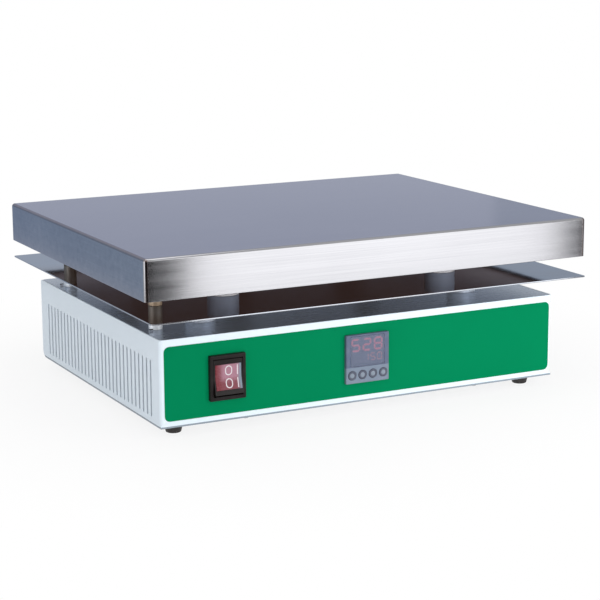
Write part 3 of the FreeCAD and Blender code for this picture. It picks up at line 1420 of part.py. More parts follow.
def make_relay_wires():
    """Lead the load wire from the block and the control wire from the controller to the relay."""
    way = block_ways()[5]
    left, top_run = "relay_x - relay_terminal_x", "relay_run"
    load_y, signal_y = "relay_y + relay_terminal_y", "relay_y - relay_terminal_y"
    load = wire("load_wire", "power_wire", (way, "block_y", "block_top"), (way, "block_y", top_run),
                (way, load_y, top_run), (left, load_y, top_run), (left, load_y, "relay_terminal_top"))
    exit_x, low = "controller_x + key_pitch", "floor_run"
    exit_z = "controller_level - key_pitch"
    control = wire("control_wire", "signal_wire", (exit_x, "-strip_back", exit_z),
                   (exit_x, "wire_stub / 2 - strip_back", exit_z), (exit_x, "control_run_y", low),
                   (left, "control_run_y", low), (left, "control_run_y", top_run), (left, signal_y, top_run),
                   (left, signal_y, "relay_terminal_top"))
    finished(group("relay_wires", [load, control]), "relay_wires")


def make_everything():
    make_plate_cover()
    make_spreader()
    make_elements()
    make_element_links()
    make_clamp_bars()
    make_probe()
    make_insulation_board()
    make_head_tray()
    make_studs()
    make_drums()
    make_heat_shield()
    make_wire_duct()
    make_casing_shell()
    make_casing_top()
    make_floor_pan()
    make_front_label()
    make_feet()
    make_switch_housing()
    make_rocker()
    make_lens()
    make_controller_bezel()
    make_window()
    make_controller_housing()
    make_keys()
    make_boards()
    make_relay()
    make_terminal_block()
    make_earth_stud()
    make_inlet()
    make_fuse_holder()
    make_head_wires()
    make_mains_wires()
    make_relay_wires()
    doc.recompute()


def check_everything():
    """Stop if any object failed, or any sub-part is empty or not valid."""
    for thing in doc.Objects:
        if {"Invalid", "Error"} & set(thing.State):
            raise ValueError(f"{thing.Name} failed: {thing.State}")
    for thing in nodes:
        if thing.Shape.isNull() or not thing.Shape.isValid() or not thing.Shape.Solids:
            raise ValueError(f"{thing.Label} has no valid solid")


def write_everything():
    os.makedirs("parts", exist_ok=True)
    for thing in nodes:
        thing.Shape.exportStep(f"parts/{thing.Label}.step")


dims = fill_sheets()
make_everything()
check_everything()
write_everything()
print(len(nodes), "sub-parts")
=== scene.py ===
"""Dress a laboratory hot plate for a studio picture.

A flat steel heating head stands on posts over a thin heat shield and a white sheet steel casing.
The casing carries a green front label, a lens rocker switch and a temperature controller.
Lengths in the classes are in millimetres, and everything in Blender is in metres.
"""

import logging
import math
from dataclasses import dataclass
from enum import Enum

import bmesh
import bpy
from mathutils import Matrix, Vector


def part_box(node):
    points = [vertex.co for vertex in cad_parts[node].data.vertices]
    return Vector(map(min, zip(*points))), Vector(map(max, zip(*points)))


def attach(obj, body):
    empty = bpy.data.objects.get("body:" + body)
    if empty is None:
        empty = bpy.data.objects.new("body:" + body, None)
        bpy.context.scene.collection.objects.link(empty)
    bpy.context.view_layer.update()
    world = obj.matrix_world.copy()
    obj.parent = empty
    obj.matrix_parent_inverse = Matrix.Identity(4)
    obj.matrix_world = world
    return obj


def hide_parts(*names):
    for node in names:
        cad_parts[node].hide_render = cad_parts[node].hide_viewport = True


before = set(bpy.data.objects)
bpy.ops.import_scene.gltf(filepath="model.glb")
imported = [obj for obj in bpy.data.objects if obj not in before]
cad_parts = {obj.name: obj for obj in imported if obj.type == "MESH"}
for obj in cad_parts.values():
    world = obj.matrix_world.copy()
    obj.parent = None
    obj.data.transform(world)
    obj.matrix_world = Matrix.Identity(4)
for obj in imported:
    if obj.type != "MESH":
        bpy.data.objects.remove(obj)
log = logging.getLogger("hot_plate")

MM = 0.001
MAIN_BODY = "hot_plate"
Colour = tuple[float, float, float]
Pair = tuple[float, float]
Point = tuple[float, float, float]
Solid = tuple[list[Point], list[tuple[int, ...]]]

# Points closer than this are one, in millimetres in a new solid and in metres in a node's mesh
SAME_POINT = 0.0005
FRAME_WELD = 0.000002
# Faces that meet at less than the flat angle are one, and edges over the others are rounded or kept sharp
FLAT_ANGLE = math.radians(0.6)
ROUNDED_ANGLE = math.radians(32.0)
SHARP_ANGLE = math.radians(50.0)
ROUNDING_STEPS = 2
# How far the middle of a rounded edge lies inside its corner, as a share of the rounding
ARC_INSET = 0.3


# Node trees

class Signal:
    """A node socket whose operators add the Math nodes of a sum."""

    def __init__(self, tree: "NodeBench", socket: bpy.types.NodeSocket) -> None:
        """Keep the tree and the socket."""
        self.tree = tree
        self.socket = socket

    def __add__(self, other: "Signal | float") -> "Signal":
        """Add."""
        return self.tree.math("ADD", self, other)

    __radd__ = __add__

    def __sub__(self, other: "Signal | float") -> "Signal":
        """Subtract."""
        return self.tree.math("SUBTRACT", self, other)

    def __rsub__(self, other: float) -> "Signal":
        """Subtract this from a number."""
        return self.tree.math("SUBTRACT", other, self)

    def __mul__(self, other: "Signal | float") -> "Signal":
        """Multiply."""
        return self.tree.math("MULTIPLY", self, other)

    def __truediv__(self, other: "Signal | float") -> "Signal":
        """Divide."""
        return self.tree.math("DIVIDE", self, other)

    def __gt__(self, other: "Signal | float") -> "Signal":
        """Give 1 where this is greater."""
        return self.tree.math("GREATER_THAN", self, other)

    def __abs__(self) -> "Signal":
        """Give the size without the sign."""
        return self.tree.math("ABSOLUTE", self)


class NodeBench:
    """A node tree to which nodes are added by one method."""

    def __init__(self, group: bpy.types.NodeTree) -> None:
        """Keep the group of nodes that this bench fills."""
        self.group = group

    def node(self, kind: str, settings: dict | None = None, sockets: dict | None = None,
             output: int | str = 0) -> Signal:
        """Add a node.

        Args:
            kind: The node's type.
            settings: Its properties.
            sockets: Values or links of its inputs, by name or number.
            output: The output to return.

        Returns:
            The node's output.
        """
        made = self.group.nodes.new(kind)
        for key, value in (settings or {}).items():
            setattr(made, key, value)
        for key, value in (sockets or {}).items():
            for given in value if isinstance(value, list) else [value]:
                self.feed(made.inputs[key], given)
        return Signal(self, made.outputs[output])

    def feed(self, socket: bpy.types.NodeSocket, given: object) -> None:
        """Link a signal to an input or set its value.

        Args:
            socket: The input.
            given: A signal or a plain value.
        """
        if isinstance(given, Signal):
            self.group.links.new(given.socket, socket)
        elif socket.type == "RGBA" and len(given) == 3:
            socket.default_value = (*given, 1.0)
        else:
            socket.default_value = given

    def math(self, operation: str, *values: "Signal | float") -> Signal:
        """Add a Math node with one of its operations."""
        return self.node("ShaderNodeMath", {"operation": operation}, dict(enumerate(values)))

    def output_of(self, signal: Signal, key: int | str) -> Signal:
        """Return another output of the node that a signal comes from."""
        return Signal(self, signal.socket.node.outputs[key])

    def split(self, vector: Signal) -> tuple[Signal, Signal, Signal]:
        """Split a vector into its three parts."""
        first = self.node("ShaderNodeSeparateXYZ", sockets={0: vector})
        return first, self.output_of(first, 1), self.output_of(first, 2)

    def ramp(self, value: Signal, low: float, high: float) -> Signal:
        """Rise smoothly from 0 to 1 as a value goes from low to high."""
        sockets = {"Value": value, "From Min": low, "From Max": high}
        return self.node("ShaderNodeMapRange", {"interpolation_type": "SMOOTHSTEP"}, sockets)


class ShaderTree(NodeBench):
    """The shader nodes of a material or the world."""

    def __init__(self, owner: bpy.types.Material | bpy.types.World) -> None:
        """Empty the owner's node tree.

        Args:
            owner: The material or world.
        """
        owner.use_nodes = True
        super().__init__(owner.node_tree)
        self.group.nodes.clear()

    def place(self) -> Signal:
        """Return the place on the object, in metres."""
        return self.node("ShaderNodeTexCoord", output="Object")

    def noise(self, vector: Signal, scale: float, stretch: Point = (1.0, 1.0, 1.0),
              detail: float = 2.0) -> Signal:
        """Add a noise.

        Args:
            vector: Where it is read.
            scale: How many waves a metre holds.
            stretch: The share of the scale along each axis.
            detail: How many finer layers it has.

        Returns:
            The noise, from 0 to 1.
        """
        waves = tuple(scale * share for share in stretch)
        stretched = self.node("ShaderNodeMapping", sockets={"Vector": vector, "Scale": waves})
        return self.node("ShaderNodeTexNoise", sockets={"Vector": stretched, "Scale": 1.0, "Detail": detail})

    def varied(self, middle: "Signal | float", *layers: tuple[Signal, float]) -> Signal:
        """Vary a value about its middle by noises.

        Args:
            middle: The value where every noise is 0.5.
            layers: Each noise with the width of its variation.

        Returns:
            The varied value.
        """
        value = middle
        for noise, width in layers:
            value = value + (noise - 0.5) * width
        return value

    def scaled(self, colour: "Signal | Colour", shade: Signal) -> Signal:
        """Make a colour lighter or darker by a factor."""
        return self.node("ShaderNodeVectorMath", {"operation": "SCALE"}, {0: colour, "Scale": shade})

    def mix(self, share: "Signal | float", first: "Signal | Colour", second: "Signal | Colour") -> Signal:
        """Mix two colours by a share of the second."""
        return self.node("ShaderNodeMix", {"data_type": "RGBA"}, {0: share, 6: first, 7: second}, output=2)

    def bump(self, height: Signal, depth: float, strength: float = 1.0,
             under: Signal | None = None) -> Signal:
        """Turn a height from 0 to 1 into a normal.

        Args:
            height: The height.
            depth: The depth of a height of 1, in metres.
            strength: The share of the bump that shows.
            under: The normal of a coarser bump below it.

        Returns:
            The normal.
        """
        sockets = {"Height": height, "Distance": depth, "Strength": strength}
        if under is not None:
            sockets["Normal"] = under
        return self.node("ShaderNodeBump", sockets=sockets)

    def surface(self, **sockets: object) -> Signal:
        """Add the main shader, with its sockets named by words joined with underscores."""
        named = {key.replace("_", " "): value for key, value in sockets.items()}
        return self.node("ShaderNodeBsdfPrincipled", sockets=named)

    def close(self, shader: Signal, kind: str = "ShaderNodeOutputMaterial") -> None:
        """Link the last shader to the tree's output."""
        end = self.group.nodes.new(kind)
        self.group.links.new(shader.socket, end.inputs["Surface"])


class GrowthTree(NodeBench):
    """A Geometry Nodes tree that grows a piece from points."""

    def __init__(self, name: str, inputs: dict[str, str]) -> None:
        """Make the tree with its named inputs.

        Args:
            name: The tree's name.
            inputs: The kind of socket of each named input.
        """
        super().__init__(bpy.data.node_groups.new(name, "GeometryNodeTree"))
        face = self.group.interface
        face.new_socket("Geometry", in_out="OUTPUT", socket_type="NodeSocketGeometry")
        face.new_socket("Places", in_out="INPUT", socket_type="NodeSocketGeometry")
        kinds = {**inputs, "Turn": "NodeSocketVector", "Finish": "NodeSocketMaterial"}
        self.keys = {label: face.new_socket(label, in_out="INPUT", socket_type=kind).identifier
                     for label, kind in kinds.items()}
        self.entry = self.group.nodes.new("NodeGroupInput")

    def given(self, label: str) -> Signal:
        """Return a named input."""
        return Signal(self, self.entry.outputs[label])

    def close(self, master: Signal) -> None:
        """Set a copy of the master at every place, make the copies real and give them their finish.

        Args:
            master: The geometry that is copied.
        """
        turn = self.node("FunctionNodeEulerToRotation", sockets={0: self.given("Turn")})
        copies = self.node("GeometryNodeInstanceOnPoints", sockets={
            "Points": self.given("Places"), "Instance": master, "Rotation": turn})
        real = self.node("GeometryNodeRealizeInstances", sockets={0: copies})
        dressed = self.node("GeometryNodeSetMaterial", sockets={
            "Geometry": real, "Material": self.given("Finish")})
        end = self.group.nodes.new("NodeGroupOutput")
        self.group.links.new(dressed.socket, end.inputs[0])

    def grow(self, places: list[Point], finish: "Finish", turn: Point = (0.0, 0.0, 0.0),
             **values: object) -> bpy.types.Mesh:
        """Grow the copies and return them as a plain mesh.

        Args:
            places: The points, in millimetres.
            finish: The finish of the copies.
            turn: The turn of each copy, in radians about X, Y and Z.
            values: Values of the tree's own inputs, with underscores in the names.

        Returns:
            The mesh, with its place in it.
        """
        seeds = bpy.data.meshes.new("places")
        seeds.from_pydata([Vector(place) * MM for place in places], [], [])
        holder = add_object("places", seeds)
        modifier = holder.modifiers.new("growth", "NODES")
        modifier.node_group = self.group
        modifier[self.keys["Turn"]] = turn
        modifier[self.keys["Finish"]] = finish.material()
        for label, value in values.items():
            modifier[self.keys[label.replace("_", " ")]] = value
        mesh = baked(holder)
        bpy.data.objects.remove(holder)
        return mesh


class CopyTree(GrowthTree):
    """Copies of one master piece at places."""

    def __init__(self) -> None:
        """Lead the master into the copies."""
        super().__init__("copies at places", {"Master": "NodeSocketObject"})
        given = {"Object": self.given("Master")}
        self.close(self.node("GeometryNodeObjectInfo", sockets=given, output="Geometry"))


@dataclass(frozen=True)
class ScrewSize:
    """The sizes of a screw head, in millimetres."""

    radius: float
    height: float
    recess_width: float
    recess_depth: float


TRAY_SCREW = ScrewSize(3.8, 2.4, 0.9, 1.1)
SHEET_SCREW = ScrewSize(3.0, 1.8, 0.8, 0.9)


class ScrewTree(GrowthTree):
    """Domed screw heads with a cross recess, each with its seat at its place."""

    def __init__(self) -> None:
        """Make the head from its sizes."""
        sizes = dict.fromkeys(("Radius", "Height", "Recess Width", "Recess Depth"), "NodeSocketFloat")
        super().__init__("cross recess screws", sizes)
        radius, height = self.given("Radius"), self.given("Height")
        drum = self.node("GeometryNodeMeshCylinder", {"fill_type": "TRIANGLE_FAN"}, {
            "Vertices": 28, "Side Segments": 2, "Fill Segments": 5, "Radius": radius, "Depth": height})
        x, y, z = self.split(self.node("GeometryNodeInputPosition"))
        reach = (x * x + y * y) / (radius * radius)
        fall = reach * reach * height * (z > 0) * -0.5
        offset = self.node("ShaderNodeCombineXYZ", sockets={"Z": fall})
        domed = self.node("GeometryNodeSetPosition", sockets={"Geometry": drum, "Offset": offset})
        bars = [self.recess_bar(radius * 1.2, self.given("Recess Width")),
                self.recess_bar(self.given("Recess Width"), radius * 1.2)]
        cross = self.node("GeometryNodeMeshBoolean", {"operation": "DIFFERENCE"}, {0: domed, 1: bars})
        lift = self.node("ShaderNodeCombineXYZ", sockets={"Z": height * 0.5})
        self.close(self.node("GeometryNodeTransform", sockets={"Geometry": cross, "Translation": lift}))

    def recess_bar(self, length: Signal, width: Signal) -> Signal:
        """Return one bar of the cross, centred at the head's top.

        Args:
            length: The bar's length along X.
            width: Its width along Y.

        Returns:
            The bar.
        """
        size = self.node("ShaderNodeCombineXYZ", sockets={
            "X": length, "Y": width, "Z": self.given("Recess Depth") * 2.0})
        bar = self.node("GeometryNodeMeshCube", sockets={"Size": size})
        lift = self.node("ShaderNodeCombineXYZ", sockets={"Z": self.given("Height") * 0.5})
        return self.node("GeometryNodeTransform", sockets={"Geometry": bar, "Translation": lift})

    def heads(self, size: ScrewSize, places: list[Point], finish: "Finish",
              turn: Point = (0.0, 0.0, 0.0)) -> bpy.types.Mesh:
        """Grow the heads of one sort of screw.

        Args:
            size: The sizes of a head.
            places: The seats of the heads, in millimetres.
            finish: Their finish.
            turn: The turn of each head, in radians about X, Y and Z.

        Returns:
            The mesh, shaded.
        """
        grown = self.grow(places, finish, turn, Radius=size.radius * MM, Height=size.height * MM,
                          Recess_Width=size.recess_width * MM, Recess_Depth=size.recess_depth * MM)
        return shaded(grown)


class KnurlTree(GrowthTree):
    """Ridges round a cap, each ring with its centre at its place."""

    def __init__(self) -> None:
        """Set the ridges on a circle."""
        super().__init__("ridges round a cap", {"Radius": "NodeSocketFloat", "Length": "NodeSocketFloat",
                                                "Width": "NodeSocketFloat", "Count": "NodeSocketInt"})
        circle = self.node("GeometryNodeMeshCircle", sockets={
            "Vertices": self.given("Count"), "Radius": self.given("Radius")})
        size = self.node("ShaderNodeCombineXYZ", sockets={
            "X": self.given("Width"), "Y": self.given("Width"), "Z": self.given("Length")})
        ridge = self.node("GeometryNodeMeshCube", sockets={"Size": size})
        facing = self.node("FunctionNodeAlignRotationToVector", {"axis": "X"}, {
            "Vector": self.node("GeometryNodeInputPosition")})
        corner_out = self.node("FunctionNodeRotateRotation", {"rotation_space": "LOCAL"}, {
            0: facing, 1: self.node("FunctionNodeEulerToRotation", sockets={0: (0.0, 0.0, math.pi / 4)})})
        self.close(self.node("GeometryNodeInstanceOnPoints", sockets={
            "Points": circle, "Instance": ridge, "Rotation": corner_out}))


# Finishes

@dataclass(frozen=True)
class Finish:
    """What every finish has: a name, a colour and a roughness."""

    name: str
    colour: Colour
    roughness: float

    def material(self) -> bpy.types.Material:
        """Return the finish's material, which is made at the first call.

        Returns:
            The material.
        """
        found = bpy.data.materials.get(self.name)
        if found is None:
            found = bpy.data.materials.new(self.name)
            tree = ShaderTree(found)
            tree.close(self.shader(tree))
        return found

    def shader(self, tree: ShaderTree) -> Signal:
        """Fill the tree and return its last shader."""
        raise NotImplementedError


@dataclass(frozen=True)
class CoverSteel(Finish):
    """Stainless sheet polished in long lines, darker beside the welded corners from weld tint and a painted
    dark reflection.
    """

    side: float = 225.0
    front: float = 175.0
    seam: float = 3.4
    tint_and_reflection_width: float = 11.0
    bend_width: Pair = (3.2, 2.2)
    bend_level: float = 163.2
    # The weld colour is partly the tint of the welds and partly a painted dark reflection of the rounded
    # corners.
    weld_and_painted_reflection_colour: Colour = (0.085, 0.062, 0.056)
    # The bend colour is a painted dark reflection in the rounded bends, with a little heat tint.
    bend_tint_and_painted_reflection_colour: Colour = (0.13, 0.09, 0.08)
    grazing: Colour = (0.505, 0.542, 0.675)

    def shader(self, tree: ShaderTree) -> Signal:
        """Run the lines along the width, and along the depth on the two short sides.

        Args:
            tree: The material's tree.

        Returns:
            The surface.
        """
        place = tree.place()
        normal = tree.node("ShaderNodeNewGeometry", output="Normal")
        on_side = abs(tree.split(normal)[0]) > 0.7
        long_lines = tree.noise(place, 1500.0, (0.004, 1.0, 1.0))
        side_lines = tree.noise(place, 1500.0, (1.0, 0.004, 1.0))
        lines = long_lines + (side_lines - long_lines) * on_side
        broad = tree.noise(place, 160.0, (0.03, 1.0, 1.0), 3.0)
        cloud = tree.noise(place, 9.0, detail=3.0)
        lit = tree.scaled(self.colour, tree.varied(1.0, (lines, 0.22), (broad, 0.24), (cloud, 0.22)))
        weld, bend = self.marks(tree, place, 1 - on_side)
        coloured = tree.mix(bend * 0.45, tree.mix(weld * 0.85, lit, self.weld_and_painted_reflection_colour), self.bend_tint_and_painted_reflection_colour)
        rough = tree.varied(self.roughness, (broad, 0.12), (cloud, 0.1))
        return tree.surface(Base_Color=coloured, Metallic=1.0, Roughness=rough, Specular_Tint=self.grazing,
                            Normal=tree.bump(lines, 0.00002, 0.5))

    def marks(self, tree: ShaderTree, place: Signal, off_side: Signal) -> tuple[Signal, Signal]:
        """Find the welds and the bends.

        Args:
            tree: The tree that gets the nodes.
            place: The place on the cover.
            off_side: 1 on every face but the two short sides.

        Returns:
            How much weld tint and painted dark reflection shows beside the corners, and how much bend tint
            and painted dark reflection along the short edges of the top.
        """
        x, y, z = tree.split(place)
        across = abs(x)
        groove = self.side - self.seam
        # Weld tint at the seam, widened by a painted dark reflection on the faces next to each corner.
        weld = tree.ramp(across, (groove - 0.2) * MM, (groove + 0.3) * MM)
        tint_and_painted_reflection = tree.ramp(across, (self.side - self.tint_and_reflection_width) * MM, groove * MM) * 0.3
        at_ends = (abs(y) > (self.front - 1.0) * MM) * off_side
        first, last = ((self.side - width) * MM for width in self.bend_width)
        # Painted dark reflection in the short bends of the top, with a little heat tint.
        bend = tree.ramp(across, first, last) * (z > self.bend_level * MM)
        return tree.math("MAXIMUM", weld, tint_and_painted_reflection) * at_ends, bend


@dataclass(frozen=True)
class SheetSteel(Finish):
    """Smooth rolled sheet with faint lines, a little wavy, clouds of heat tint and a glow of painted light.
    """

    tint: Colour = (0.3, 0.2, 0.13)
    tint_share: float = 0.0
    wave: float = 0.00035
    grazing: Colour = (1.0, 1.0, 1.0)
    # The glow is painted light, an emission that lightens sheets lying in deep shade.
    glow: Colour = (0.0, 0.0, 0.0)

    def shader(self, tree: ShaderTree) -> Signal:
        """Mix the steel with its tint in clouds, and add the glow of painted light.

        Args:
            tree: The material's tree.

        Returns:
            The surface.
        """
        place = tree.place()
        lines = tree.noise(place, 900.0, (0.01, 1.0, 1.0))
        cloud = tree.noise(place, 14.0, detail=4.0)
        swell = tree.noise(place, 7.0, detail=1.0)
        tinted = tree.mix(tree.ramp(cloud, 0.3, 0.75) * self.tint_share, self.colour, self.tint)
        lit = tree.scaled(tinted, tree.varied(1.0, (lines, 0.25), (cloud, 0.2)))
        rough = tree.varied(self.roughness, (cloud, 0.1), (lines, 0.06))
        fine = tree.bump(lines, 0.00001, 0.4, tree.bump(swell, self.wave))
        return tree.surface(Base_Color=lit, Metallic=1.0, Roughness=rough, Specular_Tint=self.grazing,
                            Emission_Color=self.glow, Emission_Strength=1.0, Normal=fine)


@dataclass(frozen=True)
class TurnedSteel(Finish):
    """Steel tube with fine rings round it and clouds of heat tint."""

    tint: Colour = (0.4, 0.25, 0.13)
    tint_share: float = 0.0
    metal: float = 1.0

    def shader(self, tree: ShaderTree) -> Signal:
        """Draw the rings by height.

        Args:
            tree: The material's tree.

        Returns:
            The surface.
        """
        place = tree.place()
        rings = tree.noise(place, 1400.0, (0.02, 0.02, 1.0))
        cloud = tree.noise(place, 45.0, detail=3.0)
        tinted = tree.mix(tree.ramp(cloud, 0.25, 0.6) * self.tint_share, self.colour, self.tint)
        lit = tree.scaled(tinted, tree.varied(1.0, (rings, 0.3), (cloud, 0.2)))
        rough = tree.varied(self.roughness, (rings, 0.15))
        return tree.surface(Base_Color=lit, Metallic=self.metal, Roughness=rough,
                            Normal=tree.bump(rings, 0.00001, 0.5))


@dataclass(frozen=True)
class PlainMetal(Finish):
    """Cast, plated or extruded metal with a fine uneven skin."""

    grain: float = 500.0
    relief: float = 0.00001

    def shader(self, tree: ShaderTree) -> Signal:
        """Vary the shade and the roughness a little.

        Args:
            tree: The material's tree.

        Returns:
            The surface.
        """
        place = tree.place()
        grain = tree.noise(place, self.grain, detail=3.0)
        cloud = tree.noise(place, 60.0)
        lit = tree.scaled(self.colour, tree.varied(1.0, (grain, 0.3), (cloud, 0.3)))
        rough = tree.varied(self.roughness, (cloud, 0.15))
        return tree.surface(Base_Color=lit, Metallic=1.0, Roughness=rough,
                            Normal=tree.bump(grain, self.relief, 0.6))


@dataclass(frozen=True)
class PowderPaint(Finish):
    """Stoved paint with a fine orange peel, with painted shade along the bottom edge of the floor sheet."""

    painted_bottom_shade: Colour = (0.21, 0.25, 0.30)
    bottom_shade_top: float = 11.6

    def shader(self, tree: ShaderTree) -> Signal:
        """Add the peel, a trace of dust and the painted shade at the bottom edge.

        Args:
            tree: The material's tree.

        Returns:
            The surface.
        """
        place = tree.place()
        peel = tree.noise(place, 900.0, detail=1.0)
        dust = tree.noise(place, 25.0, detail=4.0)
        normal = tree.node("ShaderNodeNewGeometry", output="Normal")
        upright = 1 - (abs(tree.split(normal)[2]) > 0.8)
        # Painted shade on the upright faces below a set height, along the bottom edge where the casing turns
        # under.
        in_bottom_shade = (1 - (tree.split(place)[2] > self.bottom_shade_top * MM)) * upright
        coat = tree.mix(in_bottom_shade * 0.9, self.colour, self.painted_bottom_shade)
        return tree.surface(Base_Color=tree.scaled(coat, tree.varied(1.0, (dust, 0.05))),
                            Roughness=tree.varied(self.roughness, (dust, 0.12)), Specular_IOR_Level=0.35,
                            Normal=tree.bump(peel, 0.00003, 0.35))


@dataclass(frozen=True)
class LabelFilm(Finish):
    """Printed matt film with a very fine emboss."""

    def shader(self, tree: ShaderTree) -> Signal:
        """Add the emboss and a slight cloud in the colour.

        Args:
            tree: The material's tree.

        Returns:
            The surface.
        """
        place = tree.place()
        emboss = tree.noise(place, 2500.0, detail=1.0)
        cloud = tree.noise(place, 12.0, detail=3.0)
        return tree.surface(Base_Color=tree.scaled(self.colour, tree.varied(1.0, (cloud, 0.12))),
                            Roughness=tree.varied(self.roughness, (cloud, 0.1)), Specular_IOR_Level=0.02,
                            Normal=tree.bump(emboss, 0.00001, 0.3))


@dataclass(frozen=True)
class MouldedPlastic(Finish):
    """Moulded plastic or rubber with a fine texture and dust in its clouds."""

    sheen: float = 0.5
    grain: float = 1200.0
    relief: float = 0.00001
    dust: float = 0.04
    dust_colour: Colour = (0.6, 0.58, 0.56)

    def shader(self, tree: ShaderTree) -> Signal:
        """Lighten the colour a little where dust lies.

        Args:
            tree: The material's tree.

        Returns:
            The surface.
        """
        place = tree.place()
        grain = tree.noise(place, self.grain)
        cloud = tree.noise(place, 90.0, detail=4.0)
        dusty = tree.mix(tree.ramp(cloud, 0.45, 0.8) * self.dust, self.colour, self.dust_colour)
        return tree.surface(Base_Color=dusty, Roughness=tree.varied(self.roughness, (cloud, 0.15)),
                            Specular_IOR_Level=self.sheen, Normal=tree.bump(grain, self.relief, 0.5))


@dataclass(frozen=True)
class LampLens(Finish):
    """Clear coloured plastic, with a painted highlight over its upper half.

    Its colour is deep below and at the left, where the painted highlight fades out, and grey at the right
    from a painted reflection.
    """

    # The first two colours are painted light: a highlight over the upper half and a grey reflection at the
    # right.
    painted_highlight: Colour = (0.36, 0.175, 0.23)
    side: Colour = (0.19, 0.235, 0.29)
    dust_colour: Colour = (0.5, 0.4, 0.44)
    lens_middle_x: float = -141.1
    lens_middle_z: float = 50.2
    left_fade: Pair = (-11.5, -3.0)
    lower_fade: Pair = (-5.5, 1.5)
    right_fade: Pair = (7.5, 12.0)

    def fade(self, value: Signal, middle: float, span: Pair) -> Signal:
        """Rise from 0 to 1 over a span of millimetres about the lamp's middle."""
        return value.tree.ramp(value, (middle + span[0]) * MM, (middle + span[1]) * MM)

    def shader(self, tree: ShaderTree) -> Signal:
        """Fade from the painted highlight to the deep colour, add a painted grey reflection at the right,
        and lay dust over all.

        Args:
            tree: The material's tree.

        Returns:
            The surface.
        """
        place = tree.place()
        x, _, z = tree.split(place)
        dust = tree.noise(place, 700.0, detail=5.0)
        streak = tree.noise(place, 420.0, (1.0, 1.0, 0.1))
        # The fades place a painted highlight over the upper half and a painted grey reflection at the right.
        across = self.fade(tree.varied(x, (streak, 0.004)), self.lens_middle_x, self.left_fade)
        upward = self.fade(tree.varied(z, (dust, 0.004)), self.lens_middle_z, self.lower_fade)
        beside = self.fade(tree.varied(x, (streak, 0.003)), self.lens_middle_x, self.right_fade)
        patch = tree.mix(across * (upward * 0.85 + 0.15), self.colour, self.painted_highlight)
        lit = tree.mix(beside, patch, self.side)
        dusty = tree.mix(tree.ramp(dust, 0.4, 0.8) * 0.08, lit, self.dust_colour)
        return tree.surface(Base_Color=dusty, Roughness=tree.varied(self.roughness, (dust, 0.2)),
                            Specular_IOR_Level=0.2, Normal=tree.bump(dust, 0.00001, 0.3))


@dataclass(frozen=True)
class BezelPlastic(Finish):
    """Moulded plastic, darker round the window than on the strip of keys below it."""

    strip: Colour = (0.185, 0.225, 0.295)
    dust_colour: Colour = (0.5, 0.5, 0.52)
    strip_top: float = 43.6

    def shader(self, tree: ShaderTree) -> Signal:
        """Change the colour at the strip's upper edge.

        Args:
            tree: The material's tree.

        Returns:
            The surface.
        """
        place = tree.place()
        grain = tree.noise(place, 1800.0)
        cloud = tree.noise(place, 90.0, detail=4.0)
        above = tree.ramp(tree.split(place)[2], (self.strip_top - 0.3) * MM, (self.strip_top + 0.3) * MM)
        lit = tree.mix(above, self.strip, self.colour)
        dusty = tree.mix(tree.ramp(cloud, 0.45, 0.8) * 0.08, lit, self.dust_colour)
        return tree.surface(Base_Color=dusty, Roughness=tree.varied(self.roughness, (cloud, 0.15)),
                            Specular_IOR_Level=0.25, Normal=tree.bump(grain, 0.00001, 0.5))


@dataclass(frozen=True)
class SmokedPane(Finish):
    """A smoked window that lets part of the display through."""

    cover: float = 0.55

    def shader(self, tree: ShaderTree) -> Signal:
        """Let less light through where dust lies.

        Args:
            tree: The material's tree.

        Returns:
            The surface.
        """
        dust = tree.noise(tree.place(), 500.0, detail=4.0)
        return tree.surface(Base_Color=self.colour, Roughness=tree.varied(self.roughness, (dust, 0.1)),
                            Alpha=tree.varied(self.cover, (dust, 0.12)), Coat_Weight=0.3, Coat_Roughness=0.1,
                            Normal=tree.bump(dust, 0.00001, 0.2))


@dataclass(frozen=True)
class GlowingSegment(Finish):
    """A lit segment of a display."""

    glow: float = 0.8

    def shader(self, tree: ShaderTree) -> Signal:
        """Vary the glow a little along the segment.

        Args:
            tree: The material's tree.

        Returns:
            The surface.
        """
        flicker = tree.noise(tree.place(), 900.0)
        return tree.surface(Base_Color=self.colour, Roughness=self.roughness, Emission_Strength=self.glow,
                            Emission_Color=tree.scaled(self.colour, tree.varied(1.0, (flicker, 0.4))))


@dataclass(frozen=True)
class LayeredBoard(Finish):
    """A flat board of fibres or laminate with a print of fine lines."""

    ink: Colour
    fibre: float = 300.0

    def shader(self, tree: ShaderTree) -> Signal:
        """Mix the fibres into the colour.

        Args:
            tree: The material's tree.

        Returns:
            The surface.
        """
        place = tree.place()
        fibres = tree.noise(place, self.fibre, (0.15, 1.0, 1.0), 4.0)
        spots = tree.noise(place, 150.0, (1.0, 0.2, 1.0), 3.0)
        inked = tree.ramp(fibres, 0.45, 0.7) * 0.5 + tree.ramp(spots, 0.55, 0.6) * 0.3
        return tree.surface(Base_Color=tree.mix(inked, self.colour, self.ink),
                            Roughness=tree.varied(self.roughness, (fibres, 0.2)),
                            Normal=tree.bump(fibres, 0.00005, 0.5))


COVER_STEEL = CoverSteel("polished cover steel", (0.31, 0.31, 0.325), 0.155)
SHIELD_STEEL = SheetSteel("rolled shield steel", (0.37, 0.40, 0.45), 0.08, tint_share=0.25,
                          grazing=(0.49, 0.54, 0.63))
# The tray's glow is painted light that lightens its heat stained underside in the dark gap under the head.
TRAY_STEEL = SheetSteel("heat stained tray steel", (0.13, 0.078, 0.06), 0.38, (0.07, 0.038, 0.03), 0.8,
                        glow=(0.088, 0.044, 0.030))
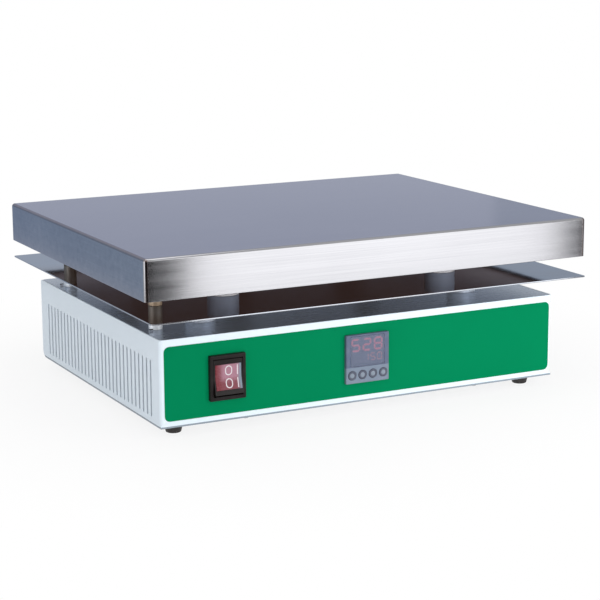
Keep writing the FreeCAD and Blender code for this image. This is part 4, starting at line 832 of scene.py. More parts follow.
# The top sheet's glow is painted light that lightens it in the shade of the shield.
TOP_SHEET_STEEL = SheetSteel("rolled top sheet steel", (0.46, 0.48, 0.52), 0.27, grazing=(0.55, 0.60, 0.67),
                             glow=(0.034, 0.035, 0.038))
SLEEVE_STEEL = TurnedSteel("bronzed sleeve steel", (0.85, 0.72, 0.55), 0.5, tint_share=0.5, metal=0.6)
UPPER_DRUM_STEEL = TurnedSteel("upper spacer steel", (0.92, 0.95, 1.0), 0.5, (0.85, 0.84, 0.86), 0.3,
                               metal=0.05)
LOWER_DRUM_STEEL = TurnedSteel("lower spacer steel", (0.80, 0.86, 0.96), 0.48, metal=0.45)
LOWER_SLEEVE_STEEL = TurnedSteel("bright sleeve steel", (0.90, 0.93, 0.96), 0.45, metal=0.4)
ZINC = PlainMetal("plated screw steel", (0.48, 0.48, 0.47), 0.32)
DARK_SCREW = PlainMetal("blackened screw steel", (0.045, 0.042, 0.042), 0.4)
ALUMINIUM = PlainMetal("cast slab aluminium", (0.62, 0.63, 0.65), 0.42, 250.0, 0.00004)
ELEMENT_STEEL = PlainMetal("scaled heater steel", (0.17, 0.14, 0.13), 0.55, 900.0, 0.00003)
PROBE_STEEL = PlainMetal("bright probe steel", (0.58, 0.58, 0.58), 0.2)
BRASS = PlainMetal("contact brass", (0.72, 0.53, 0.24), 0.28)
WHITE_PAINT = PowderPaint("white powder paint", (0.77, 0.86, 0.94), 0.42)
GREEN_FILM = LabelFilm("green printed film", (0.0, 0.208, 0.082), 0.5)
SWITCH_BLACK = MouldedPlastic("satin switch plastic", (0.012, 0.009, 0.009), 0.3, sheen=0.16, dust=0.02)
REAR_BLACK = MouldedPlastic("black fitting plastic", (0.02, 0.02, 0.021), 0.38)
RELAY_BLACK = MouldedPlastic("black relay resin", (0.03, 0.03, 0.032), 0.5)
FOOT_RUBBER = MouldedPlastic("black foot rubber", (0.017, 0.013, 0.012), 0.55, grain=700.0, relief=0.00004)
LENS_RED = LampLens("dusty red lens", (0.165, 0.022, 0.031), 0.3)
MARK_WHITE = MouldedPlastic("white mark paint", (0.68, 0.63, 0.66), 0.5)
BEZEL_GREY = BezelPlastic("grey bezel plastic", (0.103, 0.128, 0.200), 0.42)
HOUSING_GREY = MouldedPlastic("grey case plastic", (0.16, 0.16, 0.19), 0.45)
KEY_CENTRE = MouldedPlastic("light key rubber", (0.21, 0.25, 0.31), 0.5)
KEY_RING = MouldedPlastic("dark key rubber", (0.075, 0.085, 0.125), 0.5)
PANE_GREY = SmokedPane("smoked display pane", (0.17, 0.2, 0.3), 0.16)
MODULE_GREY = MouldedPlastic("grey digit module", (0.095, 0.085, 0.118), 0.5)
DIGIT_RED = GlowingSegment("red lit segment", (0.9, 0.12, 0.11), 0.4)
DIGIT_ORANGE = GlowingSegment("orange lit segment", (0.8, 0.2, 0.1), 0.4, glow=0.4)
BOARD_GREEN = LayeredBoard("circuit laminate", (0.012, 0.11, 0.05), 0.35, (0.02, 0.2, 0.09))
FIBRE_BOARD = LayeredBoard("pressed insulation", (0.62, 0.57, 0.48), 0.9, (0.42, 0.37, 0.3))
BLOCK_WHITE = MouldedPlastic("white block plastic", (0.72, 0.71, 0.67), 0.4)
WIRE_RED = MouldedPlastic("red wire sleeve", (0.45, 0.02, 0.02), 0.45)
WIRE_BROWN = MouldedPlastic("brown wire sleeve", (0.12, 0.05, 0.025), 0.45)
WIRE_EARTH = MouldedPlastic("green earth wire sleeve", (0.2, 0.36, 0.03), 0.45)
WIRE_GREY = MouldedPlastic("grey wire sleeve", (0.25, 0.25, 0.26), 0.45)


# Meshes

def add_object(name: str, data: bpy.types.ID) -> bpy.types.Object:
    """Add an object with its data to the scene and return it.

    Args:
        name: The object's name.
        data: Its mesh, light or camera.

    Returns:
        The object.
    """
    made = bpy.data.objects.new(name, data)
    bpy.context.scene.collection.objects.link(made)
    return made


def baked(holder: bpy.types.Object) -> bpy.types.Mesh:
    """Return an object's mesh with its modifiers in it.

    Args:
        holder: The object.

    Returns:
        A new mesh.
    """
    graph = bpy.context.evaluated_depsgraph_get()
    graph.update()
    return bpy.data.meshes.new_from_object(
        holder.evaluated_get(graph), preserve_all_data_layers=True, depsgraph=graph)


def closed_shape(shape: bmesh.types.BMesh, name: str) -> bpy.types.Mesh:
    """Turn a shape into a mesh and free the shape.

    Args:
        shape: The shape, which is gone afterwards.
        name: The mesh's name.

    Returns:
        The mesh.
    """
    mesh = bpy.data.meshes.new(name)
    shape.to_mesh(mesh)
    shape.free()
    return mesh


def shaded(mesh: bpy.types.Mesh, edge: float = 0.0) -> bpy.types.Mesh:
    """Round a mesh's sharp edges and shade it smoothly, with its flat faces kept flat.

    Args:
        mesh: The mesh, in metres.
        edge: The width of the rounding, in millimetres.

    Returns:
        A new mesh.
    """
    holder = add_object("shaping", mesh)
    if edge:
        bevel = holder.modifiers.new("edge", "BEVEL")
        bevel.width = edge * MM
        bevel.segments = ROUNDING_STEPS
        bevel.limit_method = "ANGLE"
        bevel.angle_limit = ROUNDED_ANGLE
        holder.data = baked(holder)
        holder.modifiers.clear()
    holder.data.shade_smooth()
    holder.data.set_sharp_from_angle(angle=SHARP_ANGLE)
    weight = holder.modifiers.new("weight", "WEIGHTED_NORMAL")
    weight.keep_sharp = True
    made = baked(holder)
    bpy.data.objects.remove(holder)
    return made


def solid_mesh(*solids: Solid, place: Matrix | None = None) -> bpy.types.Mesh:
    """Make one mesh of closed solids in millimetres, with its faces outwards.

    Args:
        solids: Points and faces of each solid.
        place: Where it goes, with its shift in millimetres.

    Returns:
        The mesh, in metres.
    """
    shape = bmesh.new()
    for points, faces in solids:
        vertices = [shape.verts.new(point) for point in points]
        for face in faces:
            shape.faces.new([vertices[number] for number in face])
    bmesh.ops.remove_doubles(shape, verts=shape.verts, dist=SAME_POINT)
    bmesh.ops.recalc_face_normals(shape, faces=shape.faces)
    to_place = Matrix.Scale(MM, 4) @ (place or Matrix.Identity(4))
    bmesh.ops.transform(shape, matrix=to_place, verts=shape.verts)
    return closed_shape(shape, "solid")


def node_mesh(node: str) -> bpy.types.Mesh:
    """Return a joined copy of a node's mesh, with flat areas in one face each.

    Args:
        node: The node.

    Returns:
        A new mesh without materials.
    """
    shape = bmesh.new()
    shape.from_mesh(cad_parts[node].data)
    bmesh.ops.remove_doubles(shape, verts=shape.verts, dist=FRAME_WELD)
    bmesh.ops.dissolve_degenerate(shape, edges=shape.edges, dist=FRAME_WELD)
    bmesh.ops.dissolve_limit(shape, angle_limit=FLAT_ANGLE, verts=shape.verts, edges=shape.edges)
    mesh = closed_shape(shape, node)
    mesh.materials.clear()
    return mesh


def loft(loops: list[list[Point]]) -> Solid:
    """Join loops of equal length into one closed solid with flat ends.

    Args:
        loops: The loops, each with its points in the same order.

    Returns:
        The solid.
    """
    count = len(loops[0])
    points = [point for loop in loops for point in loop]
    faces = []
    for row in range(len(loops) - 1):
        near, far = row * count, (row + 1) * count
        for step in range(count):
            after = (step + 1) % count
            faces.append((near + step, near + after, far + after, far + step))
    faces.append(tuple(reversed(range(count))))
    faces.append(tuple(range((len(loops) - 1) * count, len(loops) * count)))
    return points, faces


def turned(profile: list[Pair], steps: int) -> Solid:
    """Turn a closed outline of radius and height about Z.

    Args:
        profile: The outline, whose points may lie on the axis.
        steps: The number of faces round it.

    Returns:
        The solid.
    """
    points, rings, faces = [], [], []
    angles = [math.tau * step / steps for step in range(steps)]
    for radius, height in profile:
        if radius == 0:
            rings.append([len(points)] * steps)
            points.append((0.0, 0.0, height))
            continue
        rings.append([len(points) + step for step in range(steps)])
        points += [(radius * math.cos(angle), radius * math.sin(angle), height) for angle in angles]
    for ring, following in zip(rings, rings[1:] + rings[:1]):
        for step in range(steps):
            after = (step + 1) % steps
            distinct = tuple(dict.fromkeys((ring[step], ring[after], following[after], following[step])))
            if len(distinct) > 2:
                faces.append(distinct)
    return points, faces


def rounded_outline(half_x: float, half_y: float, radius: float, steps: int) -> list[Pair]:
    """Return the points of a rectangle with round corners, anticlockwise from its right side.

    Args:
        half_x: Half of its width.
        half_y: Half of its height.
        radius: The radius of its corners.
        steps: The number of sides of a corner.

    Returns:
        The points.
    """
    points = []
    for quarter in range(4):
        side = (1, -1, -1, 1)[quarter]
        end = (1, 1, -1, -1)[quarter]
        for step in range(steps + 1):
            angle = math.pi / 2 * (quarter + step / steps)
            points.append((side * (half_x - radius) + radius * math.cos(angle),
                           end * (half_y - radius) + radius * math.sin(angle)))
    return points


def slab(low: Point, high: Point, edge: float) -> Solid:
    """Return a block between two corners, with its upright edges rounded.

    Args:
        low: Its lowest corner.
        high: Its highest corner.
        edge: The radius of its upright edges.

    Returns:
        The solid.
    """
    middle = [(low[axis] + high[axis]) / 2 for axis in range(2)]
    half = [(high[axis] - low[axis]) / 2 for axis in range(2)]
    outline = rounded_outline(half[0], half[1], edge, 3)
    return loft([[(middle[0] + x, middle[1] + y, z) for x, y in outline] for z in (low[2], high[2])])


@dataclass
class Piece:
    """How a finished mesh joins the object."""

    name: str
    slot: str
    body: str = MAIN_BODY

    def put(self, mesh: bpy.types.Mesh, finish: Finish, *nodes: str) -> bpy.types.Object:
        """Add the mesh as a piece.

        Args:
            mesh: The mesh, in place.
            finish: Its finish.
            nodes: The nodes that it stands for.

        Returns:
            The piece.
        """
        piece = add_object(self.name, mesh)
        if not mesh.materials:
            mesh.materials.append(finish.material())
        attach(piece, self.body)
        if nodes:
            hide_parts(*nodes)
        return piece


def soften(node: str, finish: Finish, slot: str, edge: float, body: str = MAIN_BODY) -> bpy.types.Object:
    """Replace a node by a copy with rounded edges.

    Args:
        node: The node.
        finish: Its finish.
        slot: The name of the finish's slot, kept on the piece.
        edge: The width of the rounding, in millimetres.
        body: The body that it rides on.

    Returns:
        The piece.
    """
    return Piece(node + "_shaped", slot, body).put(shaded(node_mesh(node), edge), finish, node)


def dress(finish: Finish, *nodes: str) -> None:
    """Give nodes that keep their own shape a finish.

    Args:
        finish: The finish.
        nodes: The nodes.
    """
    for node in nodes:
        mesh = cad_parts[node].data
        if not mesh.materials:
            mesh.materials.append(None)
        for number in range(len(mesh.materials)):
            mesh.materials[number] = finish.material()


def copies(tree: CopyTree, master: Solid, places: list[Point], finish: Finish,
           turn: Point = (0.0, 0.0, 0.0)) -> bpy.types.Mesh:
    """Return one mesh with a copy of a solid at every place.

    Args:
        tree: The tree that makes the copies.
        master: The solid, about the origin.
        places: Where the copies go.
        finish: Their finish.
        turn: The turn of each copy.

    Returns:
        The mesh.
    """
    holder = add_object("master", shaded(solid_mesh(master)))
    mesh = tree.grow(places, finish, turn, Master=holder)
    bpy.data.objects.remove(holder)
    mesh.shade_smooth()
    mesh.set_sharp_from_angle(angle=SHARP_ANGLE)
    return mesh


def corners(x: float, y: float) -> list[Pair]:
    """Return the four places at plus and minus x and y."""
    return [(across * x, along * y) for along in (-1, 1) for across in (-1, 1)]


# Sub-assemblies

@dataclass
class HeatingHead:
    """The steel cover over the heater, and the stained tray that closes it from below."""

    half_width: float = 225.0
    half_depth: float = 175.0
    bottom: float = 128.2
    top: float = 165.5
    skin: float = 1.5
    bend: float = 3.0
    seam: float = 3.4
    groove_width: float = 0.5
    groove_depth: float = 0.16
    lip: float = 0.4
    tray_edge: float = 0.25
    tray_screw_level: float = 131.2
    side_screw_x: float = 219.0
    end_screw_x: float = 140.0
    end_screw_y: float = 169.0

    def plan(self, inset: float, level: float, groove: float) -> list[Point]:
        """Return one loop of the cover.

        Args:
            inset: How far the loop lies inside the outer face.
            level: Its height.
            groove: The depth of the weld groove beside each corner.

        Returns:
            The loop's points.
        """
        radius = max(self.bend - inset, 0.02)
        arcs = rounded_outline(self.half_width - inset, self.half_depth - inset, radius, 5)
        quarter = len(arcs) // 4
        seam = self.half_width - self.seam
        rear, front = self.half_depth - inset, inset - self.half_depth
        half = self.groove_width / 2
        steps = ((half, 0.0), (0.0, groove), (-half, 0.0))
        loop = list(arcs[:quarter])
        loop += [(seam + shift, rear - depth) for shift, depth in steps]
        loop += [(-seam - shift, rear - depth) for shift, depth in reversed(steps)]
        loop += arcs[quarter:3 * quarter]
        loop += [(-seam - shift, front + depth) for shift, depth in steps]
        loop += [(seam + shift, front + depth) for shift, depth in reversed(steps)]
        loop += arcs[3 * quarter:]
        return [(x, y, level) for x, y in loop]

    def cover(self) -> Solid:
        """Return the deep cover as one folded sheet with a soft bend and a rounded lower edge.

        Returns:
            The sheet as a solid.
        """
        loops = []
        for step in range(7):
            angle = math.radians(15 * step)
            inset, drop = self.bend * (1 - math.sin(angle)), self.bend * (1 - math.cos(angle))
            loops.append(self.plan(inset, self.top - drop, self.groove_depth * (step > 4)))
        corner = self.lip * ARC_INSET
        outside = ((0.0, self.bottom + self.lip, self.groove_depth),
                   (corner, self.bottom + corner, self.groove_depth), (self.lip, self.bottom, 0.0))
        inside = ((self.skin - self.lip, self.bottom, 0.0), (self.skin, self.bottom + self.lip, 0.0),
                  (self.skin, self.top - self.bend, 0.0), (self.bend, self.top - self.skin, 0.0))
        loops += [self.plan(*sizes) for sizes in outside + inside]
        return loft(loops)

    def build(self, screws: ScrewTree) -> None:
        """Build the cover, the tray and the tray's screws.

        Args:
            screws: The tree that makes the screw heads.
        """
        cover = shaded(solid_mesh(self.cover()))
        Piece("plate_cover_shaped", "plate_steel").put(cover, COVER_STEEL, "plate_cover")
        soften("head_tray", TRAY_STEEL, "sheet_steel", self.tray_edge)
        places = [(self.side_screw_x, 0.0), (-self.side_screw_x, 0.0)]
        places += [(side * self.end_screw_x, end * self.end_screw_y) for side in (-1, 1) for end in (-1, 1)]
        seats = [(x, y, self.tray_screw_level) for x, y in places]
        heads = screws.heads(TRAY_SCREW, seats, ZINC, (math.pi, 0.0, 0.0))
        Piece("tray_screw_heads", "zinc_steel").put(heads, ZINC, "tray_screws")


@dataclass
class HeatShield:
    """The thin wide sheet between the head and the casing."""

    edge: float = 0.3

    def build(self) -> None:
        """Build the sheet."""
        soften("heat_shield", SHIELD_STEEL, "sheet_steel", self.edge)


@dataclass
class SupportStack:
    """The sleeves at the left, the spacers and the wire duct that hold the head and the shield up."""

    sleeve_x: float = -188.5
    sleeve_y: float = 108.5
    sleeve_radius: float = 6.2
    bore: float = 3.15
    upper_x: float = 115.0
    upper_y: float = 92.0
    upper_radius: float = 14.5
    lower_x: float = 138.7
    lower_y: float = 93.3
    lower_radius: float = 13.75
    edge: float = 0.5
    duct_edge: float = 0.2

    def tube(self, node: str, radius: float, bore: float) -> tuple[Solid, float]:
        """Return a tube as high as a node and the level of its foot.

        Args:
            node: The node.
            radius: The outer radius.
            bore: The inner radius.

        Returns:
            The tube about the origin, and its level.
        """
        low, high = (corner.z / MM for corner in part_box(node))
        height = high - low
        edge, arc = self.edge, self.edge * ARC_INSET
        profile = [(bore, 0.0), (radius - edge, 0.0), (radius - arc, arc), (radius, edge),
                   (radius, height - edge), (radius - arc, height - arc), (radius - edge, height),
                   (bore, height)]
        return turned(profile, 72), low

    def build(self, tree: CopyTree) -> None:
        """Build the four sorts of post and the duct.

        Args:
            tree: The tree that copies the posts.
        """
        left = [(self.sleeve_x, -self.sleeve_y), (self.sleeve_x, self.sleeve_y)]
        upper, lower = corners(self.upper_x, self.upper_y), corners(self.lower_x, self.lower_y)
        rows = (("upper_sleeves", "sleeve_steel", SLEEVE_STEEL, self.sleeve_radius, left),
                ("lower_sleeves", "drum_steel", LOWER_SLEEVE_STEEL, self.sleeve_radius, left),
                ("upper_drums", "sleeve_steel", UPPER_DRUM_STEEL, self.upper_radius, upper),
                ("lower_drums", "drum_steel", LOWER_DRUM_STEEL, self.lower_radius, lower))
        for node, slot, finish, radius, spots in rows:
            master, level = self.tube(node, radius, self.bore)
            grown = copies(tree, master, [(x, y, level) for x, y in spots], finish)
            Piece(node + "_turned", slot).put(grown, finish, node)
        soften("wire_duct", LOWER_DRUM_STEEL, "drum_steel", self.duct_edge)
        dress(ZINC, "corner_studs", "stud_nuts", "drum_screws")


@dataclass
class Casing:
    """The white casing with its slots, its steel top sheet and the screws that hold them."""

    shell_edge: float = 0.3
    top_edge: float = 0.25
    screw_x: float = 195.5
    left_screw_y: float = 115.0
    right_screw_y: float = 57.5
    top_level: float = 89.0

    def build(self, screws: ScrewTree) -> None:
        """Build the folded sheets and their screws.

        Args:
            screws: The tree that makes the screw heads.
        """
        soften("casing_shell", WHITE_PAINT, "white_paint", self.shell_edge)
        soften("floor_pan", WHITE_PAINT, "white_paint", self.shell_edge)
        soften("casing_top", TOP_SHEET_STEEL, "sheet_steel", self.top_edge)
        places = [(side * self.screw_x, end * y, self.top_level) for end in (-1, 1)
                  for side, y in ((-1, self.left_screw_y), (1, self.right_screw_y))]
        heads = screws.heads(SHEET_SCREW, places, DARK_SCREW)
        Piece("top_screw_heads", "black_steel").put(heads, DARK_SCREW, "casing_top_screws")
        dress(ZINC, "floor_screws", "earth_stud")


@dataclass
class FrontLabel:
    """The green film on the front."""

    edge: float = 0.12

    def build(self) -> None:
        """Build the film."""
        soften("front_label", GREEN_FILM, "label_green", self.edge)


class LensHalf(Enum):
    """The two halves of the lens, each with its side of the hinge."""

    UPPER = 1
    LOWER = -1


@dataclass
class PowerSwitch:
    """The rocker switch: a glossy frame, the rocker and its marked red lens."""

    centre_x: float = -141.1
    centre_z: float = 50.2
    pivot_depth: float = 153.63
    tilt: float = 7.0
    valley: float = 4.0
    lens_proud: float = 0.3
    mark_height: float = 8.8
    ring_width: float = 6.8
    stroke: float = 0.9
    ring_x: float = 0.2
    bar_x: float = 8.7
    bar_round: float = 0.2
    mark_z: float = 5.7
    mark_reach: float = 0.12
    frame_edge: float = 0.35
    rocker_edge: float = 0.25
    lens_edge: float = 0.3

    def mark_place(self, half: LensHalf) -> Matrix:
        """Return where a flat mark drawn about the origin goes on one half of the lens.

        Args:
            half: The half of the lens.

        Returns:
            The place, with its shift in millimetres.
        """
        side, tilt = half.value, math.radians(self.tilt)
        forward = self.valley + self.mark_z * math.tan(tilt) + self.lens_proud
        pivot = Matrix.Translation((self.centre_x, -self.pivot_depth, self.centre_z))
        rest = Matrix.Rotation(-tilt, 4, "X")
        on_lens = Matrix.Translation((0.0, -forward, side * self.mark_z))
        lean = Matrix.Rotation(side * tilt + math.pi / 2, 4, "X")
        return pivot @ rest @ on_lens @ lean

    def marks(self) -> list[Solid]:
        """Return a ring and a bar, flat about the origin with their depth along Z.

        Returns:
            The ring and the bar.
        """
        half, reach, thick = self.mark_height / 2, self.ring_width / 2, self.mark_reach
        outer, inner = (rounded_outline(reach - inset, half - inset, reach - inset - 0.01, 8)
                        for inset in (0.0, self.stroke))
        count = len(outer)
        points = [(x + self.ring_x, y, z)
                  for outline, z in ((outer, -thick), (outer, thick), (inner, thick), (inner, -thick))
                  for x, y in outline]
        faces = [(row * count + step, row * count + (step + 1) % count,
                  (row + 1) % 4 * count + (step + 1) % count, (row + 1) % 4 * count + step)
                 for row in range(4) for step in range(count)]
        left, right = self.bar_x - self.stroke / 2, self.bar_x + self.stroke / 2
        bar = slab((left, -half, -thick), (right, half, thick), self.bar_round)
        return [(points, faces), bar]

    def build(self) -> None:
        """Build the frame, the rocker, the lens and the marks."""
        soften("switch_housing", SWITCH_BLACK, "black_plastic", self.frame_edge)
        soften("switch_rocker", SWITCH_BLACK, "black_plastic", self.rocker_edge, "rocker")
        soften("switch_lens", LENS_RED, "lens_red", self.lens_edge, "rocker")
        for half in LensHalf:
            mesh = solid_mesh(*self.marks(), place=self.mark_place(half))
            name = f"lens_marks_{half.name.lower()}"
            Piece(name, "block_white", "rocker").put(shaded(mesh), MARK_WHITE)
        dress(BRASS, "switch_tabs")


LIT_BARS = {"0": "abcdef", "1": "bc", "2": "abged", "3": "abgcd", "4": "fgbc", "5": "afgcd", "6": "afgedc",
            "7": "abc", "8": "abcdefg", "9": "abcdfg"}
FLAT_BARS = {"a": 0.5, "g": 0.0, "d": -0.5}
UPRIGHT_BARS = {"b": (0.5, 0.25), "c": (0.5, -0.25), "e": (-0.5, -0.25), "f": (-0.5, 0.25)}


@dataclass(frozen=True)
class LitNumber:
    """A lit number on the display, made of pointed bars in one mesh."""

    name: str
    digits: str
    finish: Finish
    bar: float
    middle: float
    width: float
    height: float
    pitch: float
    right: float = 14.4
    face: float = 155.9
    depths: Pair = (-0.12, 0.06)

    def places(self) -> tuple[list[Point], list[Point]]:
        """Return the middles of the flat and of the upright bars.

        Returns:
            The places of the flat bars, and those of the upright bars.
        """
        flat, upright = [], []
        for place, digit in enumerate(reversed(self.digits)):
            x = self.right - self.width / 2 - place * self.pitch
            for letter in LIT_BARS[digit]:
                if letter in FLAT_BARS:
                    flat.append((x, -self.face, self.middle + FLAT_BARS[letter] * self.height))
                else:
                    across, up = UPRIGHT_BARS[letter]
                    upright.append((x + across * self.width, -self.face, self.middle + up * self.height))
        return flat, upright

    def build(self, tree: CopyTree) -> None:
        """Copy a flat and an upright bar to their places.

        Args:
            tree: The tree that makes the copies.
        """
        flat, upright = self.places()
        shape = bmesh.new()
        for places, length, turn in ((flat, self.width, 0.0), (upright, self.height / 2, math.pi / 2)):
            half, reach = self.bar / 2, (length - self.bar * 0.25) / 2
            outline = [(-reach, 0.0), (half - reach, -half), (reach - half, -half), (reach, 0.0),
                       (reach - half, half), (half - reach, half)]
            bar = loft([[(x, depth, z) for x, z in outline] for depth in self.depths])
            shape.from_mesh(copies(tree, bar, places, self.finish, (0.0, turn, 0.0)))
        mesh = closed_shape(shape, self.name)
        Piece(self.name, "lens_red").put(mesh, self.finish)


@dataclass
class Controller:
    """The temperature controller: a grey bezel, a smoked display and four ring-shaped keys."""

    centre_x: float = -0.9
    bezel_edge: float = 0.25
    window_edge: float = 0.15
    module_edge: float = 0.2
    key_level: float = 36.3
    key_pitch: float = 10.8
    key_front: float = 157.9
    key_back: float = 156.3
    key_radius: float = 4.1
    ring_bore: float = 2.3
    ring_crest: float = 2.9
    button_radius: float = 2.25
    numbers: tuple[LitNumber, ...] = (
        LitNumber("large_number", "528", DIGIT_RED, 1.8, 63.8, 7.4, 10.4, 11.7),
        LitNumber("small_number", "150", DIGIT_ORANGE, 1.25, 51.8, 4.4, 6.2, 7.0))
    key_bodies: tuple[str, ...] = ("key_one", "key_two", "key_three", "key_four")

    def key(self, number: int, body: str) -> None:
        """Build one key, a dark ring round a lighter button.

        Args:
            number: The key's number from the left.
            body: The body that it rides on.
        """
        x = self.centre_x + (number - 2.5) * self.key_pitch
        place = Matrix.Translation((x, 0.0, self.key_level)) @ Matrix.Rotation(math.pi / 2, 4, "X")
        front, back = self.key_front, self.key_back
        ring = [(self.ring_bore, back), (self.key_radius, back), (self.key_radius, front - 0.45),
                (self.key_radius - 0.4, front - 0.1), (self.ring_crest, front - 0.1),
                (self.ring_bore, front - 0.35)]
        button = [(0.0, back), (self.button_radius, back), (self.button_radius, front - 0.3),
                  (self.button_radius - 0.35, front - 0.05), (0.0, front)]
        ring_mesh, button_mesh = (shaded(solid_mesh(turned(profile, 40), place=place))
                                  for profile in (ring, button))
        Piece(f"key_ring_{number}", "key_grey", body).put(ring_mesh, KEY_RING, f"controller_key_{number}")
        Piece(f"key_button_{number}", "key_grey", body).put(button_mesh, KEY_CENTRE)

    def build(self, tree: CopyTree) -> None:
        """Build the bezel, the display and the keys.

        Args:
            tree: The tree that copies the lit bars.
        """
        soften("controller_bezel", BEZEL_GREY, "controller_grey", self.bezel_edge)
        soften("controller_window", PANE_GREY, "window_smoke", self.window_edge)
        soften("display_modules", MODULE_GREY, "module_grey", self.module_edge)
        for number in self.numbers:
            number.build(tree)
        for number, body in enumerate(self.key_bodies, 1):
            self.key(number, body)
        dress(HOUSING_GREY, "controller_housing", "controller_terminals")
        dress(BOARD_GREEN, "display_board", "control_board")


@dataclass
class RearPanel:
    """The mains socket and the fuse holder in the rear wall."""

    inlet_edge: float = 0.3
    holder_edge: float = 0.35
    fuse_x: float = 95.0
    fuse_z: float = 42.0
    cap_radius: float = 7.5
    cap_front: float = 161.5
    ridges: int = 28
    ridge_length: float = 5.2
    ridge_width: float = 0.75
    ridge_sink: float = 0.15
    ridge_setback: float = 3.6

    def build(self, screws: ScrewTree, knurls: KnurlTree) -> None:
        """Build the fittings, their screws and the ridges of the fuse cap.

        Args:
            screws: The tree that makes the screw heads.
            knurls: The tree that makes the cap's ridges.
        """
        soften("mains_inlet", REAR_BLACK, "black_plastic", self.inlet_edge)
        soften("fuse_holder", REAR_BLACK, "black_plastic", self.holder_edge)
        dress(BRASS, "inlet_contacts")
        to_rear = (-math.pi / 2, 0.0, 0.0)
        cap = (self.fuse_x, self.cap_front - self.ridge_setback, self.fuse_z)
        ridges = knurls.grow([cap], REAR_BLACK, to_rear, Radius=(self.cap_radius - self.ridge_sink) * MM,
                             Length=self.ridge_length * MM, Width=self.ridge_width * MM, Count=self.ridges)
        Piece("fuse_cap_ridges", "black_plastic").put(shaded(ridges), REAR_BLACK)
        low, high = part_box("inlet_screws")
        seat, level = high.y / MM - SHEET_SCREW.height, (low.z + high.z) / 2 / MM
        inset = SHEET_SCREW.radius * MM
        places = [(x / MM, seat, level) for x in (low.x + inset, high.x - inset)]
        heads = screws.heads(SHEET_SCREW, places, ZINC, to_rear)
        Piece("inlet_screw_heads", "zinc_steel").put(heads, ZINC, "inlet_screws")


@dataclass
class Internals:
    """What is inside the head and the casing, seen only through the slots."""

    def build(self) -> None:
        """Give each part its finish."""
        dress(ALUMINIUM, "spreader_plate", "relay_heat_sink", "probe_clip")
        dress(ELEMENT_STEEL, "heating_elements", "element_links")
        dress(PROBE_STEEL, "temperature_probe")
        dress(FIBRE_BOARD, "insulation_board")
        dress(ZINC, "clamp_screws", "clamp_bars")
        dress(RELAY_BLACK, "solid_state_relay")
        dress(BLOCK_WHITE, "terminal_block")
        dress(WIRE_RED, "heater_wires", "relay_wires")
        dress(WIRE_BROWN, "mains_wires")
        dress(WIRE_EARTH, "earth_wire")
        dress(WIRE_GREY, "probe_wire")


@dataclass
class Feet:
    """Four tapered rubber feet with their screws."""

    x: float = 183.0
    y: float = 131.3
    top_radius: float = 9.0
    bottom_radius: float = 7.0
    height: float = 10.0
    recess_radius: float = 4.1
    recess: float = 4.2
    bore: float = 2.3
    top_edge: float = 0.4
    recess_edge: float = 0.3

    def build(self) -> None:
        """Turn the feet."""
        outline = [(self.recess_radius, self.recess), (self.bore, self.recess), (self.bore, self.height),
                   (self.top_radius - self.top_edge, self.height),
                   (self.top_radius, self.height - self.top_edge),
                   (self.bottom_radius + 0.05, 0.9), (self.bottom_radius - 0.25, 0.3),
                   (self.bottom_radius - 0.8, 0.0),
                   (self.recess_radius + self.recess_edge, 0.0), (self.recess_radius, self.recess_edge)]
        for across, side in ((-1, "left"), (1, "right")):
            for along, end in ((-1, "front"), (1, "rear")):
                node = f"foot_{end}_{side}"
                place = Matrix.Translation((across * self.x, along * self.y, 0.0))
                mesh = shaded(solid_mesh(turned(outline, 56), place=place))
                Piece(node + "_turned", "foot_rubber").put(mesh, FOOT_RUBBER, node)
        dress(ZINC, "foot_screws")


@dataclass(frozen=True)
class SoftLamp:
    """A rectangular soft lamp, in metres, as bright as its radiance, where 1 is white."""

    name: str
    place: Point
    target: Point
    width: float
    height: float
    radiance: float
    glossy: bool = True

    def hang(self) -> None:
        """Hang the lamp where it faces its target."""
        data = bpy.data.lights.new(self.name, "AREA")
        data.shape = "RECTANGLE"
        data.size = self.width
        data.size_y = self.height
        data.energy = self.radiance * math.pi * self.width * self.height
        holder = add_object(self.name, data)
        holder.location = self.place
        facing = Vector(self.target) - Vector(self.place)
        holder.rotation_euler = facing.to_track_quat("-Z", "Y").to_euler()
        holder.visible_camera = False
        holder.visible_glossy = self.glossy


@dataclass(frozen=True)
class UprightCard:
    """An upright card between two places on the floor, in metres, that shows only in reflections."""

    name: str
    first: Pair
    last: Pair
    height: float
    colour: Colour

    def stand(self) -> None:
        """Stand the card on the floor."""
        points = [(*self.first, 0.0), (*self.last, 0.0),
                  (*self.last, self.height), (*self.first, self.height)]
        mesh = bpy.data.meshes.new(self.name)
        mesh.from_pydata(points, [], [(0, 1, 2, 3)])
        card = add_object(self.name, mesh)
        material = bpy.data.materials.new(self.name)
        tree = ShaderTree(material)
        tree.close(tree.node("ShaderNodeEmission", sockets={"Color": self.colour, "Strength": 1.0}))
        mesh.materials.append(material)
        card.visible_camera = False
        card.visible_diffuse = False
        card.visible_transmission = False
        card.visible_shadow = False


